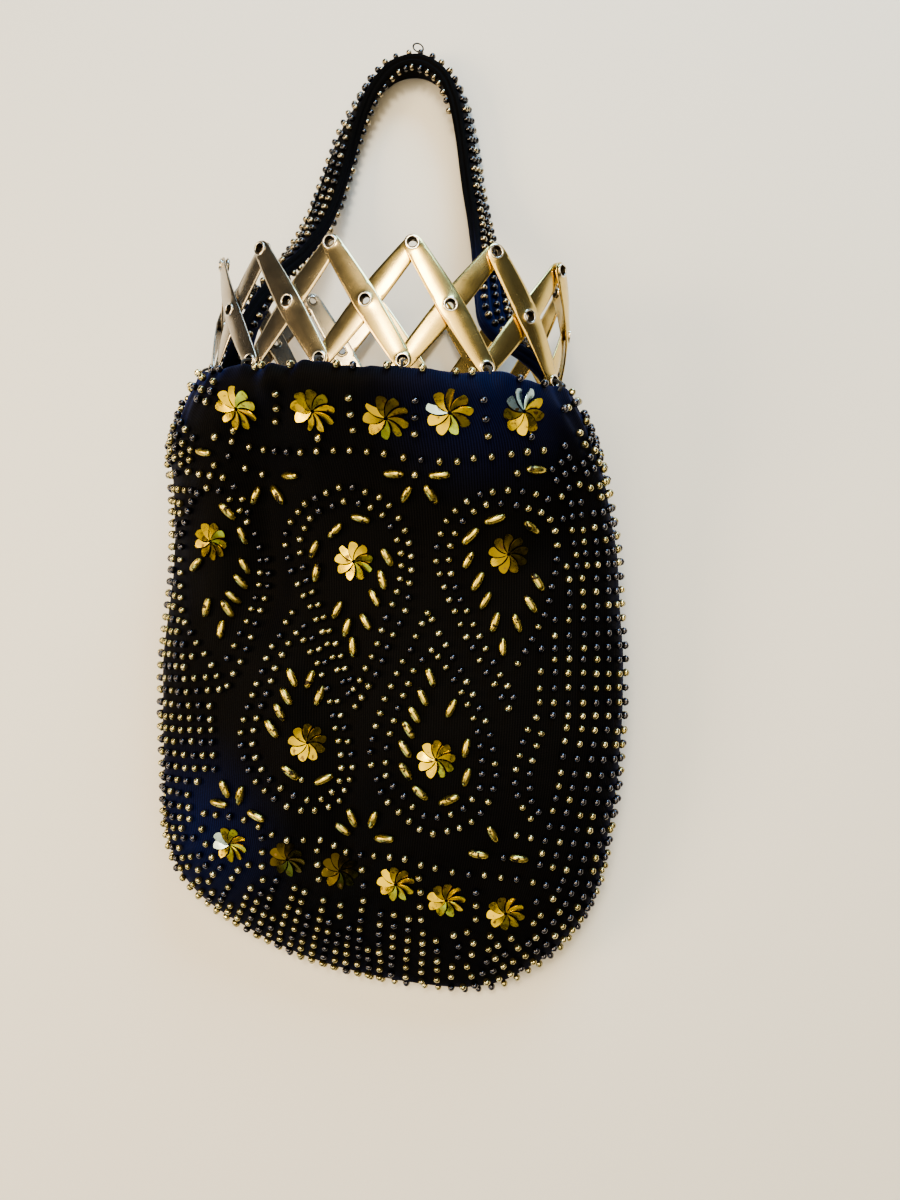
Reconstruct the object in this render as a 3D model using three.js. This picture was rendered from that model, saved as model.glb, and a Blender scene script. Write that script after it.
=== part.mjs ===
// A beaded evening bag on an expanding lattice frame, lying on its back.
// Millimetres, +Z up. +X runs across the bag, +Y from its foot towards the mouth and the handle,
// and the front of the bag faces up.

import * as THREE from 'three';
import { mergeVertices } from 'three/addons/utils/BufferGeometryUtils.js';

// Driving dimensions.

// The lattice ring: scissor units that follow an oval round the mouth.
const RING = {
  units: 12,
  halfWidth: 57.6,     // half of the oval's long axis, across the bag
  halfDepth: 34.8,     // half of its short axis, from back to front
  pivotRise: 35,       // from the foot pivots to the top pivots
  centre: new THREE.Vector3(5.3, 48.5, 40.6),
  turn: -0.079,        // radians about Z: the right end lies a little lower
  lean: -0.12,         // the front arc lies nearer the foot than the back arc
  phase: 0.53,         // of a unit, from the left end to the first column of pivots
};

const SLAT = {
  midWidth: 7.7,       // at the middle pivot
  endWidth: 5.6,       // at the end pivots
  edge: 0.5,           // metal at the slat's edges
  crown: 0.45,         // how far its rounded outer face stands above them
  halfGap: 0.2,        // from the oval to each of the two layers of slats
};

const EYELET = {
  hole: 1.3,
  barrel: 1.7,
  flange: 2.15,        // foot of the rolled lip outside, and the flare that clinches it inside
  crest: 1.7,          // the lip's highest line
  lip: 0.35,           // height of the lip
  play: 0.3,           // round the barrel, in the inner slat
  sides: 8,
};

const CLOTH = {
  wall: 1.8,
  rimRise: -18.7,      // the rim's edge, from the ring's mid height
  rimOut: 4.2,         // the outer face of the rim, from the oval
  collarRise: -24,     // the gathered collar under the rim
  collarOut: 4.8,
  frontSquare: 2.3,    // 2 is an ellipse, and more is squarer
  backSquare: 3,
  midShare: 0.42,      // height of the widest line, as a share of the front's height
  settle: 3,           // how far the soft back would sink if the surface weren't there
  frontSteps: 20,
  backSteps: 12,
};

// The pouch, row by row down to its foot: the middle of the row, half of its width, and its height.
const POUCH_ROWS = [
  { x: 0.9, y: 9, half: 72.2, front: 70.5 },
  { x: 2.0, y: -4, half: 74.4, front: 60.5 },
  { x: 2.2, y: -17, half: 76.3, front: 53 },
  { x: 2.0, y: -31, half: 77.6, front: 47.8 },
  { x: 1.3, y: -46, half: 78.9, front: 45 },
  { x: 0.2, y: -62, half: 80.2, front: 43.6 },
  { x: -0.3, y: -78, half: 79.9, front: 42.2 },
  { x: -0.9, y: -94, half: 78.8, front: 39.8 },
  { x: -2.2, y: -109, half: 77.6, front: 36.3 },
  { x: -3.8, y: -122, half: 76.4, front: 32.3 },
  { x: -4.8, y: -134, half: 73, front: 27.8 },
  { x: -4.8, y: -144, half: 67.4, front: 23 },
  { x: -3.4, y: -152.5, half: 59, front: 18.5 },
  { x: 0, y: -160, half: 47, front: 14.2 },
  { x: 5, y: -166, half: 32.5, front: 10.8 },
  { x: 9.5, y: -169.6, half: 16.5, front: 8.4 },
];

// Folds of the front: a line from one end to the other, its depth, and its reach to either side.
// A negative depth is a ridge.
const FOLDS = [
  { name: 'left pleat', x1: -28, y1: 26, x2: -40, y2: -62, depth: 6, reach: 9 },
  { name: 'left ridge', x1: -48, y1: 10, x2: -58, y2: -70, depth: -3, reach: 13 },
  { name: 'middle drop', x1: -14, y1: -36, x2: -10, y2: -136, depth: 5, reach: 9 },
  { name: 'middle ridge', x1: -24, y1: -52, x2: -27, y2: -122, depth: -2.5, reach: 11 },
  { name: 'right pleat', x1: 62, y1: 22, x2: 60, y2: -34, depth: 3.5, reach: 9 },
];

// The handle: a beaded cloth strap. Roll turns its beaded face from straight up to straight outwards.
const STRAP = {
  width: 11,
  thickness: 4.5,
  endRise: -24.5,
  endOut: -0.5,
  passRise: -12,
  passOut: -6.1,
  steps: 32,
};
const STRAP_ROUTE = [
  { x: -44.5, y: 53, z: 38, roll: 80 },
  { x: -37.5, y: 74, z: 28.5, roll: 62 },
  { x: -32, y: 87, z: 20.5, roll: 42 },
  { x: -26.5, y: 106, z: 11.5, roll: 28 },
  { x: -21.5, y: 127.5, z: 6.5, roll: 34 },
  { x: -17, y: 141.5, z: 6, roll: 45 },
  { x: -8.5, y: 156.5, z: 6.2, roll: 65 },
  { x: 4.5, y: 165, z: 6.2, roll: 80 },
  { x: 16.5, y: 159.5, z: 6.2, roll: 84 },
  { x: 22.5, y: 149.5, z: 6.2, roll: 80 },
  { x: 26, y: 133.5, z: 6.2, roll: 76 },
  { x: 28.7, y: 113.5, z: 7.5, roll: 74 },
  { x: 32, y: 95.5, z: 12.5, roll: 70 },
  { x: 35, y: 80.5, z: 19.5, roll: 56 },
  { x: 37.4, y: 63.3, z: 27.5, roll: 34 },
  { x: 40.2, y: 50.5, z: 33, roll: 38 },
  { x: 47.5, y: 40.5, z: 37, roll: 72 },
];

// The pinwheel spangles sewn on the front.
const FLOWER = { radius: 6.5, petals: 9, slitRadius: 1.9, thickness: 0.5, swirl: 0.32, seat: 0.3 };
const FLOWER_PLACES = {
  top: [
    { x: -35.8, y: 17 }, { x: -10.5, y: 13.2 }, { x: 11.2, y: 10.4 }, { x: 29.6, y: 11.3 },
    { x: 50.1, y: 12.6 },
  ],
  upper: [{ x: -52.2, y: -20.6 }, { x: -4, y: -28.4 }, { x: 44.4, y: -26.9 }],
  lower: [{ x: -21.1, y: -85.6 }, { x: 20.9, y: -90.4 }],
  bottom: [
    { x: -50.7, y: -120.4 }, { x: -30.3, y: -124.4 }, { x: -13, y: -128.1 },
    { x: 5.9, y: -131.5 }, { x: 22.1, y: -136.5 }, { x: 41, y: -140.8 },
  ],
};

// Finishes.

const CHAMPAGNE = new THREE.MeshStandardMaterial({ color: 0xcdb27a, roughness: 0.3, metalness: 1 });
const BLACK_CLOTH = new THREE.MeshStandardMaterial({ color: 0x0b0b10, roughness: 0.75, metalness: 0 });
const SPANGLE = new THREE.MeshStandardMaterial({ color: 0xd9cfae, roughness: 0.25, metalness: 1 });

// Solids.

// Leaves a geometry with positions only, its shared corners merged and its faces pointing out.
function closed(geometry) {
  const bare = geometry.clone();
  bare.deleteAttribute('normal');
  bare.deleteAttribute('uv');
  const solid = mergeVertices(bare, 1e-4);
  if (signedVolume(solid) < 0) {
    const corners = solid.index.array;
    for (let i = 0; i < corners.length; i += 3) {
      [corners[i + 1], corners[i + 2]] = [corners[i + 2], corners[i + 1]];
    }
  }
  return solid;
}

function signedVolume(geometry) {
  const place = geometry.attributes.position;
  const corners = geometry.index.array;
  const a = new THREE.Vector3();
  const b = new THREE.Vector3();
  const c = new THREE.Vector3();
  let sum = 0;
  for (let i = 0; i < corners.length; i += 3) {
    a.fromBufferAttribute(place, corners[i]);
    b.fromBufferAttribute(place, corners[i + 1]);
    c.fromBufferAttribute(place, corners[i + 2]);
    sum += a.dot(b.cross(c)) / 6;
  }
  return sum;
}

// Joins rings of points, all of one count, into a closed skin with a lid on the first and last ring.
function loftRings(rings) {
  const count = rings[0].length;
  const points = rings.flat();
  const faces = [];
  for (let row = 0; row + 1 < rings.length; row += 1) {
    for (let i = 0; i < count; i += 1) {
      const next = (i + 1) % count;
      const a = row * count + i;
      const b = row * count + next;
      faces.push(a, b, b + count, a, b + count, a + count);
    }
  }
  for (const [start, flip] of [[0, true], [(rings.length - 1) * count, false]]) {
    const hub = points.length;
    const middle = new THREE.Vector3();
    for (let i = 0; i < count; i += 1) middle.addScaledVector(points[start + i], 1 / count);
    points.push(middle);
    for (let i = 0; i < count; i += 1) {
      const edge = [start + i, start + ((i + 1) % count)];
      faces.push(...(flip ? edge.reverse() : edge), hub);
    }
  }
  const geometry = new THREE.BufferGeometry().setFromPoints(points);
  geometry.setIndex(faces);
  return closed(geometry);
}

function named(name, geometry, material) {
  const mesh = new THREE.Mesh(geometry, material);
  mesh.name = name;
  return mesh;
}

// The lattice ring.

const OVAL = new THREE.EllipseCurve(0, 0, RING.halfWidth, RING.halfDepth, Math.PI, -Math.PI, true);
OVAL.arcLengthDivisions = 720;
const PITCH = OVAL.getLength() / RING.units;
const RING_PLACE = new THREE.Matrix4()
  .makeTranslation(RING.centre)
  .multiply(new THREE.Matrix4().makeRotationZ(RING.turn));

// A point by its share of the way round (from the left end, over the front), its height along the
// bag from the ring's mid height, and its distance out from the oval.
function onRing(share, rise, out) {
  const around = share - Math.floor(share);
  const spot = OVAL.getPointAt(around);
  const along = OVAL.getTangentAt(around);
  const x = spot.x - along.y * out;
  const z = spot.y + along.x * out;
  return new THREE.Vector3(x, rise + RING.lean * z, z).applyMatrix4(RING_PLACE);
}

function columnShare(column) {
  return (column + RING.phase) / RING.units;
}

const SLAT_LENGTH = Math.hypot(PITCH, RING.pivotRise);
const SLAT_FACE = SLAT.halfGap + SLAT.edge + SLAT.crown;
const EYELET_TOP = SLAT_FACE + EYELET.lip;

// Half of a slat's width at a place along it: its sides bow in from the middle pivot to the ends.
function slatHalfWidth(place) {
  const share = Math.min(Math.abs(place) / (SLAT_LENGTH / 2), 1);
  return (SLAT.midWidth + (SLAT.endWidth - SLAT.midWidth) * share ** 1.5) / 2;
}

// A slat's own coordinates, bent round the oval: along it from its middle, across it, and out.
// Outer slats fall to the right as seen from outside the ring, and inner ones rise.
function slatFrame(column, outer) {
  const middleShare = columnShare(column + 0.5);
  const along = new THREE.Vector2(PITCH, outer ? -RING.pivotRise : RING.pivotRise).divideScalar(SLAT_LENGTH);
  return (place, across, out) => {
    const sideways = place * along.x - across * along.y;
    const rise = place * along.y + across * along.x;
    return onRing(middleShare + sideways / OVAL.getLength(), rise, out);
  };
}

// Eight corners round a pivot, anticlockwise from the slat's own direction.
function circleCorners(pivot, radius) {
  const corners = [];
  for (let i = 0; i < EYELET.sides; i += 1) {
    const angle = (i / EYELET.sides) * 2 * Math.PI;
    corners.push([pivot + radius * Math.cos(angle), radius * Math.sin(angle)]);
  }
  return corners;
}

// The patch of slat round a pivot: its corners are square towards the slat and round at its ends.
function patchCorners(pivot) {
  const radius = slatHalfWidth(pivot);
  const side = (value) => Math.sign(Math.round(value * 100));
  return circleCorners(0, radius).map(([place, across]) => {
    const roundEnd = place * pivot > 0;
    if (roundEnd) return [pivot + place, across];
    const squared = pivot + side(place) * radius;
    return [squared, side(across) * slatHalfWidth(squared)];
  });
}

// One slat as a closed skin. Each pivot is a stack of rings from the outer face to the back, and
// plain strips with their edges join the three pivots.
function slatGeometry(column, outer) {
  const bend = slatFrame(column, outer);
  const back = outer ? SLAT.halfGap : -SLAT_FACE;
  const half = SLAT_LENGTH / 2;
  const points = [];
  const faces = [];
  const faceOut = (place, across) => {
    const past = Math.max(Math.abs(place) - half, 0);
    const dome = 1 - (across ** 2 + past ** 2) / slatHalfWidth(place) ** 2;
    return back + SLAT.edge + SLAT.crown * Math.max(dome, 0);
  };
  const put = (place, across, out) => points.push(bend(place, across, out)) - 1;
  const quad = (a, b, c, d) => faces.push(a, b, c, a, c, d);
  const band = (from, to) => from.forEach((corner, i) => {
    const next = (i + 1) % from.length;
    quad(corner, from[next], to[next], to[i]);
  });

  const pivots = [-half, 0, half].map((pivot) => {
    const ring = (radius, out) => circleCorners(pivot, radius).map(([place, across]) => put(place, across, out));
    const patch = patchCorners(pivot);
    const front = patch.map(([place, across]) => put(place, across, faceOut(place, across)));
    const rear = patch.map(([place, across]) => put(place, across, back));
    const onFace = (radius) => circleCorners(pivot, radius)
      .map(([place, across]) => put(place, across, faceOut(place, across)));
    const stack = outer
      ? [
        onFace(EYELET.flange),
        ring(EYELET.crest, EYELET_TOP),
        ring(EYELET.hole, -EYELET_TOP),
        ring(EYELET.flange, -EYELET_TOP),
        ring(EYELET.barrel, -SLAT_FACE - 0.1),
        ring(EYELET.barrel, back),
      ]
      : [onFace(EYELET.barrel + EYELET.play), ring(EYELET.barrel + EYELET.play, back)];
    const rings = [front, ...stack, rear];
    for (let i = 0; i + 1 < rings.length; i += 1) band(rings[i], rings[i + 1]);
    return { front, rear };
  });

  // Corners 7, 0 and 1 of a patch face the next pivot, and 5, 4 and 3 the one before.
  for (let i = 0; i < 2; i += 1) {
    const middle = (i - 0.5) * half;
    const edgeAt = slatHalfWidth(middle);
    const spread = [-edgeAt, 0, edgeAt];
    const midFront = spread.map((across) => put(middle, across, faceOut(middle, across)));
    const midRear = spread.map((across) => put(middle, across, back));
    const from = { front: [7, 0, 1].map((k) => pivots[i].front[k]), rear: [7, 0, 1].map((k) => pivots[i].rear[k]) };
    const to = { front: [5, 4, 3].map((k) => pivots[i + 1].front[k]), rear: [5, 4, 3].map((k) => pivots[i + 1].rear[k]) };
    const stops = [from, { front: midFront, rear: midRear }, to];
    for (let step = 0; step < 2; step += 1) {
      const [near, far] = [stops[step], stops[step + 1]];
      for (let lane = 0; lane < 2; lane += 1) {
        quad(near.front[lane], far.front[lane], far.front[lane + 1], near.front[lane + 1]);
        quad(near.rear[lane + 1], far.rear[lane + 1], far.rear[lane], near.rear[lane]);
      }
      quad(near.rear[0], far.rear[0], far.front[0], near.front[0]);
      quad(near.front[2], far.front[2], far.rear[2], near.rear[2]);
    }
  }

  // The edges of the patches themselves: the middle one has two, and each end one runs round.
  const edge = ({ front, rear }, corners) => {
    for (let i = 0; i + 1 < corners.length; i += 1) {
      const [here, next] = [corners[i], corners[i + 1]];
      quad(rear[here], rear[next], front[next], front[here]);
    }
  };
  edge(pivots[0], [1, 2, 3, 4, 5, 6, 7]);
  edge(pivots[1], [1, 2, 3]);
  edge(pivots[1], [5, 6, 7]);
  edge(pivots[2], [5, 6, 7, 0, 1, 2, 3]);

  const geometry = new THREE.BufferGeometry().setFromPoints(points);
  geometry.setIndex(faces);
  return closed(geometry);
}

function latticeRing() {
  const ring = new THREE.Group();
  for (let column = 0; column < RING.units; column += 1) {
    const number = String(column + 1).padStart(2, '0');
    ring.add(named(`slat_outer_${number}`, slatGeometry(column, true), CHAMPAGNE));
    ring.add(named(`slat_inner_${number}`, slatGeometry(column, false), CHAMPAGNE));
  }
  return ring;
}

// The cloth pouch.

// How far the folds lower the front at a place seen from above.
function foldDrop(x, y) {
  let drop = 0;
  for (const fold of FOLDS) {
    const line = new THREE.Vector2(fold.x2 - fold.x1, fold.y2 - fold.y1);
    const length = line.length();
    line.divideScalar(length);
    const away = new THREE.Vector2(x - fold.x1, y - fold.y1);
    const along = away.dot(line) / length;
    const aside = away.cross(line) / fold.reach;
    const fade = THREE.MathUtils.smoothstep(along, 0, 0.2) * (1 - THREE.MathUtils.smoothstep(along, 0.8, 1));
    drop += fold.depth * fade * Math.exp(-(aside ** 2));
  }
  return drop;
}

function squared(value, power) {
  return Math.sign(value) * Math.abs(value) ** (2 / power);
}

// One row of the pouch as a closed ring of points: from its left edge over the front, and back below.
function pouchRow(row) {
  const middle = CLOTH.midShare * row.front;
  const halfRow = (power, height, from, to, steps) => {
    const points = [];
    for (let i = 0; i <= 40; i += 1) {
      const angle = THREE.MathUtils.lerp(from, to, i / 40);
      const across = row.half * squared(Math.cos(angle), power);
      const x = row.x + across * Math.cos(RING.turn);
      const y = row.y + across * Math.sin(RING.turn);
      points.push(new THREE.Vector3(x, y, middle + height(squared(Math.abs(Math.sin(angle)), power))));
    }
    return new THREE.CatmullRomCurve3(points).getSpacedPoints(steps);
  };
  const rise = row.front - middle;
  const sink = middle + CLOTH.settle;
  const front = halfRow(CLOTH.frontSquare, (share) => rise * share, Math.PI, 0, CLOTH.frontSteps);
  const back = halfRow(CLOTH.backSquare, (share) => -sink * share, 0, -Math.PI, CLOTH.backSteps);
  for (const point of front) {
    const reach = (point.z - middle) / rise;
    point.z -= foldDrop(point.x, point.y) * THREE.MathUtils.smoothstep(reach, 0.1, 0.7);
  }
  for (const point of back) point.z = Math.max(point.z, 0);
  return [...front.slice(0, -1), ...back.slice(0, -1)];
}

// A row of the gathered collar, which follows the lattice ring.
function collarRow(rise, out) {
  const points = [];
  for (let i = 0; i < CLOTH.frontSteps; i += 1) points.push(onRing((0.5 * i) / CLOTH.frontSteps, rise, out));
  for (let i = 0; i < CLOTH.backSteps; i += 1) points.push(onRing(0.5 + (0.5 * i) / CLOTH.backSteps, rise, out));
  return points;
}

// The wall's inner ring for each outer one, moved in along the skin's own normals.
function innerRings(rings) {
  const skin = loftRings(rings);
  skin.computeVertexNormals();
  const place = skin.attributes.position;
  const normals = new Map();
  for (let i = 0; i < place.count; i += 1) {
    const key = [place.getX(i), place.getY(i), place.getZ(i)].map((value) => value.toFixed(3)).join();
    normals.set(key, new THREE.Vector3().fromBufferAttribute(skin.attributes.normal, i));
  }
  return rings.map((ring) => ring.map((point) => {
    const normal = normals.get(point.toArray().map((value) => Math.fround(value).toFixed(3)).join());
    return point.clone().addScaledVector(normal, -CLOTH.wall);
  }));
}

function bagBody() {
  const outer = [
    collarRow(CLOTH.rimRise, CLOTH.rimOut),
    collarRow(CLOTH.collarRise, CLOTH.collarOut),
    ...POUCH_ROWS.map(pouchRow),
  ];
  const inner = innerRings(outer);
  inner[0] = collarRow(CLOTH.rimRise, CLOTH.rimOut - CLOTH.wall);
  inner[1] = collarRow(CLOTH.collarRise, CLOTH.collarOut - CLOTH.wall);
  return loftRings([...inner.reverse(), ...outer]);
}

// The handle strap.

function strapRoute() {
  const end = (share) => [
    { at: onRing(share, STRAP.endRise, STRAP.endOut), roll: 90 },
    { at: onRing(share, STRAP.passRise, STRAP.passOut), roll: 88 },
  ];
  const middle = STRAP_ROUTE.map(({ x, y, z, roll }) => ({ at: new THREE.Vector3(x, y, z), roll }));
  return [...end(0), ...middle, ...end(0.5).reverse()];
}

function handleStrap() {
  const route = strapRoute();
  const line = new THREE.CatmullRomCurve3(route.map((stop) => stop.at), false, 'centripetal');
  const rolls = new THREE.SplineCurve(route.map((stop, i) => new THREE.Vector2(i, stop.roll)));
  const halfWidth = STRAP.width / 2;
  const halfThick = STRAP.thickness / 2;
  const section = [[1, 0.45], [0.8, 1], [-0.8, 1], [-1, 0.45], [-1, -0.45], [-0.8, -1], [0.8, -1], [1, -0.45]];
  const up = new THREE.Vector3(0, 0, 1);
  const rings = [];
  for (let i = 0; i <= STRAP.steps; i += 1) {
    const t = line.getUtoTmapping(i / STRAP.steps);
    const ahead = line.getTangent(t);
    const outward = new THREE.Vector3().crossVectors(up, ahead).normalize();
    const raised = new THREE.Vector3().crossVectors(ahead, outward).normalize();
    const roll = THREE.MathUtils.degToRad(rolls.getPoint(t).y);
    const face = raised.clone().multiplyScalar(Math.cos(roll)).addScaledVector(outward, Math.sin(roll));
    const across = new THREE.Vector3().crossVectors(ahead, face);
    rings.push(section.map(([wide, thick]) => line.getPoint(t)
      .addScaledVector(across, wide * halfWidth)
      .addScaledVector(face, thick * halfThick)));
  }
  return loftRings(rings);
}

// The spangles.

function flowerGeometry() {
  const { radius, petals, slitRadius, thickness, swirl } = FLOWER;
  const outline = [];
  for (let i = 0; i < petals; i += 1) {
    const start = (i / petals) * 2 * Math.PI;
    const step = (2 * Math.PI) / petals;
    const stops = [[slitRadius, 0], [0.88 * radius, swirl + 0.12 * step], [radius, swirl + 0.62 * step]];
    for (const [reach, angle] of stops) {
      const turn = -(start + angle);   // the petals curl clockwise
      outline.push(new THREE.Vector2(reach * Math.cos(turn), reach * Math.sin(turn)));
    }
  }
  return closed(new THREE.ExtrudeGeometry(new THREE.Shape(outline), { depth: thickness, bevelEnabled: false }));
}

// Lays a spangle on the cloth: it is let down from above until it is close to the front.
function layOnFront(flower, body, { x, y }) {
  const ray = new THREE.Raycaster();
  const down = new THREE.Vector3(0, 0, -1);
  const clothAt = (px, py) => {
    ray.set(new THREE.Vector3(px, py, 200), down);
    return ray.intersectObject(body)[0].point;
  };
  const ring = [];
  for (let i = 0; i < 12; i += 1) {
    const angle = (i / 12) * 2 * Math.PI;
    ring.push(clothAt(x + FLOWER.radius * Math.cos(angle), y + FLOWER.radius * Math.sin(angle)));
  }
  const normal = new THREE.Vector3();
  const centre = clothAt(x, y);
  ring.forEach((point, i) => {
    const next = ring[(i + 1) % ring.length];
    normal.add(new THREE.Vector3().crossVectors(point.clone().sub(centre), next.clone().sub(centre)));
  });
  normal.normalize();
  let highest = -Infinity;
  for (let across = -1; across <= 1; across += 0.2) {
    for (let along = -1; along <= 1; along += 0.2) {
      const point = clothAt(x + across * FLOWER.radius, y + along * FLOWER.radius);
      const far = Math.hypot(across, along) > 1.05;
      if (!far) highest = Math.max(highest, point.sub(centre).dot(normal));
    }
  }
  flower.quaternion.setFromUnitVectors(new THREE.Vector3(0, 0, 1), normal);
  flower.position.copy(centre).addScaledVector(normal, highest + FLOWER.seat);
}

function flowers(body) {
  const group = new THREE.Group();
  const geometry = flowerGeometry();
  for (const [row, places] of Object.entries(FLOWER_PLACES)) {
    places.forEach((place, i) => {
      const flower = named(`flower_${row}_${i + 1}`, geometry, SPANGLE);
      layOnFront(flower, body, place);
      group.add(flower);
    });
  }
  return group;
}

// The whole bag, centred over the surface that it lies on.

function wholeBag() {
  const bag = new THREE.Group();
  const body = named('bag_body', bagBody(), BLACK_CLOTH);
  bag.add(body, latticeRing(), named('handle_strap', handleStrap(), BLACK_CLOTH), flowers(body));
  const box = new THREE.Box3().setFromObject(bag, true);
  const middle = box.getCenter(new THREE.Vector3());
  bag.position.set(-middle.x, -middle.y, -box.min.z);
  return bag;
}

export default wholeBag();
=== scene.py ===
# %% [markdown]
# # A beaded evening bag on a lattice frame
# The bag lies on its back: a gathered black cloth pouch covered in sewn beads, a ring of crossed
# metal slats round its mouth, and a beaded cloth strap. The solids that are loaded first give every
# size and place. Each later cell dresses one of them, in metres and in the same frame.

# %% Load the solids and keep their box
import math
import random

import bmesh
import bpy
import numpy as np
from mathutils import Matrix, Vector, noise
from mathutils.bvhtree import BVHTree


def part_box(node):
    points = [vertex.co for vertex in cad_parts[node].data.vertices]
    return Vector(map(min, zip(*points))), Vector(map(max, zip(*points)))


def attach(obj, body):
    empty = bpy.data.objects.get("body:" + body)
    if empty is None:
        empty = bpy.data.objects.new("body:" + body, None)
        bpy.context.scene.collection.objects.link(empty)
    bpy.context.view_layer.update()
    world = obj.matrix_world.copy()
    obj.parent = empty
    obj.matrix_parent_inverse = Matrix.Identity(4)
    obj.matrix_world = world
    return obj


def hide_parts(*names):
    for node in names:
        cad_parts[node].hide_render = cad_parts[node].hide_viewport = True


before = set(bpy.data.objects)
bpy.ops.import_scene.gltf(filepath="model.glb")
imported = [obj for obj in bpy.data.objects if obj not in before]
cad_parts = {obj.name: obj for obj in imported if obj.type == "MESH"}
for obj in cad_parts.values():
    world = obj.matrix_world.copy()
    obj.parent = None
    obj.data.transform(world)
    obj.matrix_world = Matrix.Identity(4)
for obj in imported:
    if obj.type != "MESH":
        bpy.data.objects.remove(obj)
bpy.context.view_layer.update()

MM = 0.001
print("solids loaded:", len(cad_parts))

# %% [markdown]
# ## The camera
# The photograph looks down on the bag from a little right of its middle. A camera object is turned
# by its three axes: the way it looks, the side that is right in the picture, and the side that is
# up. The last two are chosen so that the bag's length runs up the picture. The same numbers then
# turn a pixel of the photograph into a line of sight, which later cells use to place beads.

# %% Camera
EYE = Vector((66.0, -61.7, 322.4)) * MM
AIM = Vector((19.4, -34.9, 0.0)) * MM
PHOTO_WIDE, PHOTO_TALL = 900, 1200
LENS, SENSOR = 27.0, 36.0
FOCAL_PIXELS = LENS / SENSOR * PHOTO_TALL

LOOK = (AIM - EYE).normalized()
RIGHT = LOOK.cross(Vector((0, 1, 0))).normalized()
UP = RIGHT.cross(LOOK)

bpy.ops.object.select_all(action="DESELECT")
bpy.ops.object.camera_add(location=EYE)
camera = bpy.context.object
camera.rotation_euler = Matrix((RIGHT, UP, -LOOK)).transposed().to_euler()
camera.data.lens = LENS
camera.data.sensor_width = SENSOR
camera.data.clip_start = 0.01
bpy.context.scene.camera = camera


def sight(px, py):
    """The direction from the camera through a pixel of the photograph."""
    across = (px - PHOTO_WIDE / 2) / FOCAL_PIXELS
    upward = (PHOTO_TALL / 2 - py) / FOCAL_PIXELS
    return (LOOK + RIGHT * across + UP * upward).normalized()


def pixel_of(point):
    """The pixel of the photograph that shows a point."""
    arm = Vector(point) - EYE
    deep = arm.dot(LOOK)
    px = PHOTO_WIDE / 2 + FOCAL_PIXELS * arm.dot(RIGHT) / deep
    py = PHOTO_TALL / 2 - FOCAL_PIXELS * arm.dot(UP) / deep
    return px, py


print("camera looks along", [round(x, 3) for x in LOOK])

# %% [markdown]
# ## Floor and light
# A plain pale floor and large soft lamps. Metal and glass beads show what they reflect, so the lamps
# are wide panels with gaps between them: each bead gets one clear highlight and stays dark round it.
# The ceiling and the lamp on the left are warm, as room light is in the evening. A window beyond the
# handle and one past the foot are cool: they edge the slats, the rim and the left corner with blue.
# A small bright bulb above the handle gives every bead its point of light. The view has a little
# more contrast than the plain one, as a picture taken indoors with a telephone has.

# %% Floor, lamps and the room
LAMPS = [
    # name, place, width, watts, colour
    ("ceiling", (0.08, -0.12, 0.95), 1.15, 10.5, (1.0, 0.82, 0.52)),
    ("bulb", (0.05, 0.28, 0.90), 0.20, 4.5, (1.0, 0.88, 0.66)),
    ("warm_lamp", (-0.65, -0.10, 0.55), 0.35, 5.0, (1.0, 0.76, 0.46)),
    ("window", (0.35, 0.90, 0.50), 0.50, 11.0, (0.42, 0.70, 1.0)),
    ("second_window", (-0.65, -0.80, 0.30), 0.40, 1.6, (0.45, 0.70, 1.0)),
]
LAMPS_AIM = Vector((0, 0, 0.02))
ROOM_GREY = (0.62, 0.60, 0.56, 1.0)
ROOM_STRENGTH = 0.09
FLOOR_SIZE = 6.0
FLOOR_COLOUR = (0.80, 0.77, 0.72, 1.0)
FLOOR_ROUGHNESS = 0.85

bpy.ops.mesh.primitive_plane_add(size=FLOOR_SIZE)
floor = bpy.context.object
floor.name = "floor"
floor_finish = bpy.data.materials.new("pale_floor")
floor_finish.use_nodes = True
floor_shader = floor_finish.node_tree.nodes["Principled BSDF"]
floor_shader.inputs["Base Color"].default_value = FLOOR_COLOUR
floor_shader.inputs["Roughness"].default_value = FLOOR_ROUGHNESS
floor.data.materials.append(floor_finish)

for name, place, wide, watts, colour in LAMPS:
    bpy.ops.object.light_add(type="AREA", location=place)
    lamp = bpy.context.object
    lamp.name = name
    lamp.data.size = wide
    lamp.data.energy = watts
    lamp.data.color = colour
    towards = LAMPS_AIM - Vector(place)
    lamp.rotation_euler = towards.to_track_quat("-Z", "Y").to_euler()

room = bpy.data.worlds.new("soft_room")
room.use_nodes = True
room.node_tree.nodes["Background"].inputs["Color"].default_value = ROOM_GREY
room.node_tree.nodes["Background"].inputs["Strength"].default_value = ROOM_STRENGTH
bpy.context.scene.world = room
bpy.context.scene.view_settings.look = "AgX - Medium High Contrast"
print("lamps:", len(LAMPS))

# %% [markdown]
# ## Small helpers
# Operators act on whatever is selected, so `only` leaves one object selected and active. `apply` adds a
# modifier and applies it at once, so the mesh that is seen is the mesh that is kept. A finished piece
# rides on the bag's one body and takes its finish.

# %% Helpers for objects
SAME_PLACE = 1e-6           # corners closer than this, in metres, are merged


def only(piece):
    bpy.ops.object.select_all(action="DESELECT")
    piece.select_set(True)
    bpy.context.view_layer.objects.active = piece


def apply(piece, kind, **settings):
    only(piece)
    modifier = piece.modifiers.new(kind.lower(), kind)
    for setting, value in settings.items():
        setattr(modifier, setting, value)
    bpy.ops.object.modifier_apply(modifier=modifier.name)


def edit_all(piece):
    only(piece)
    bpy.ops.object.mode_set(mode="EDIT")
    bpy.ops.mesh.select_all(action="SELECT")


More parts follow.
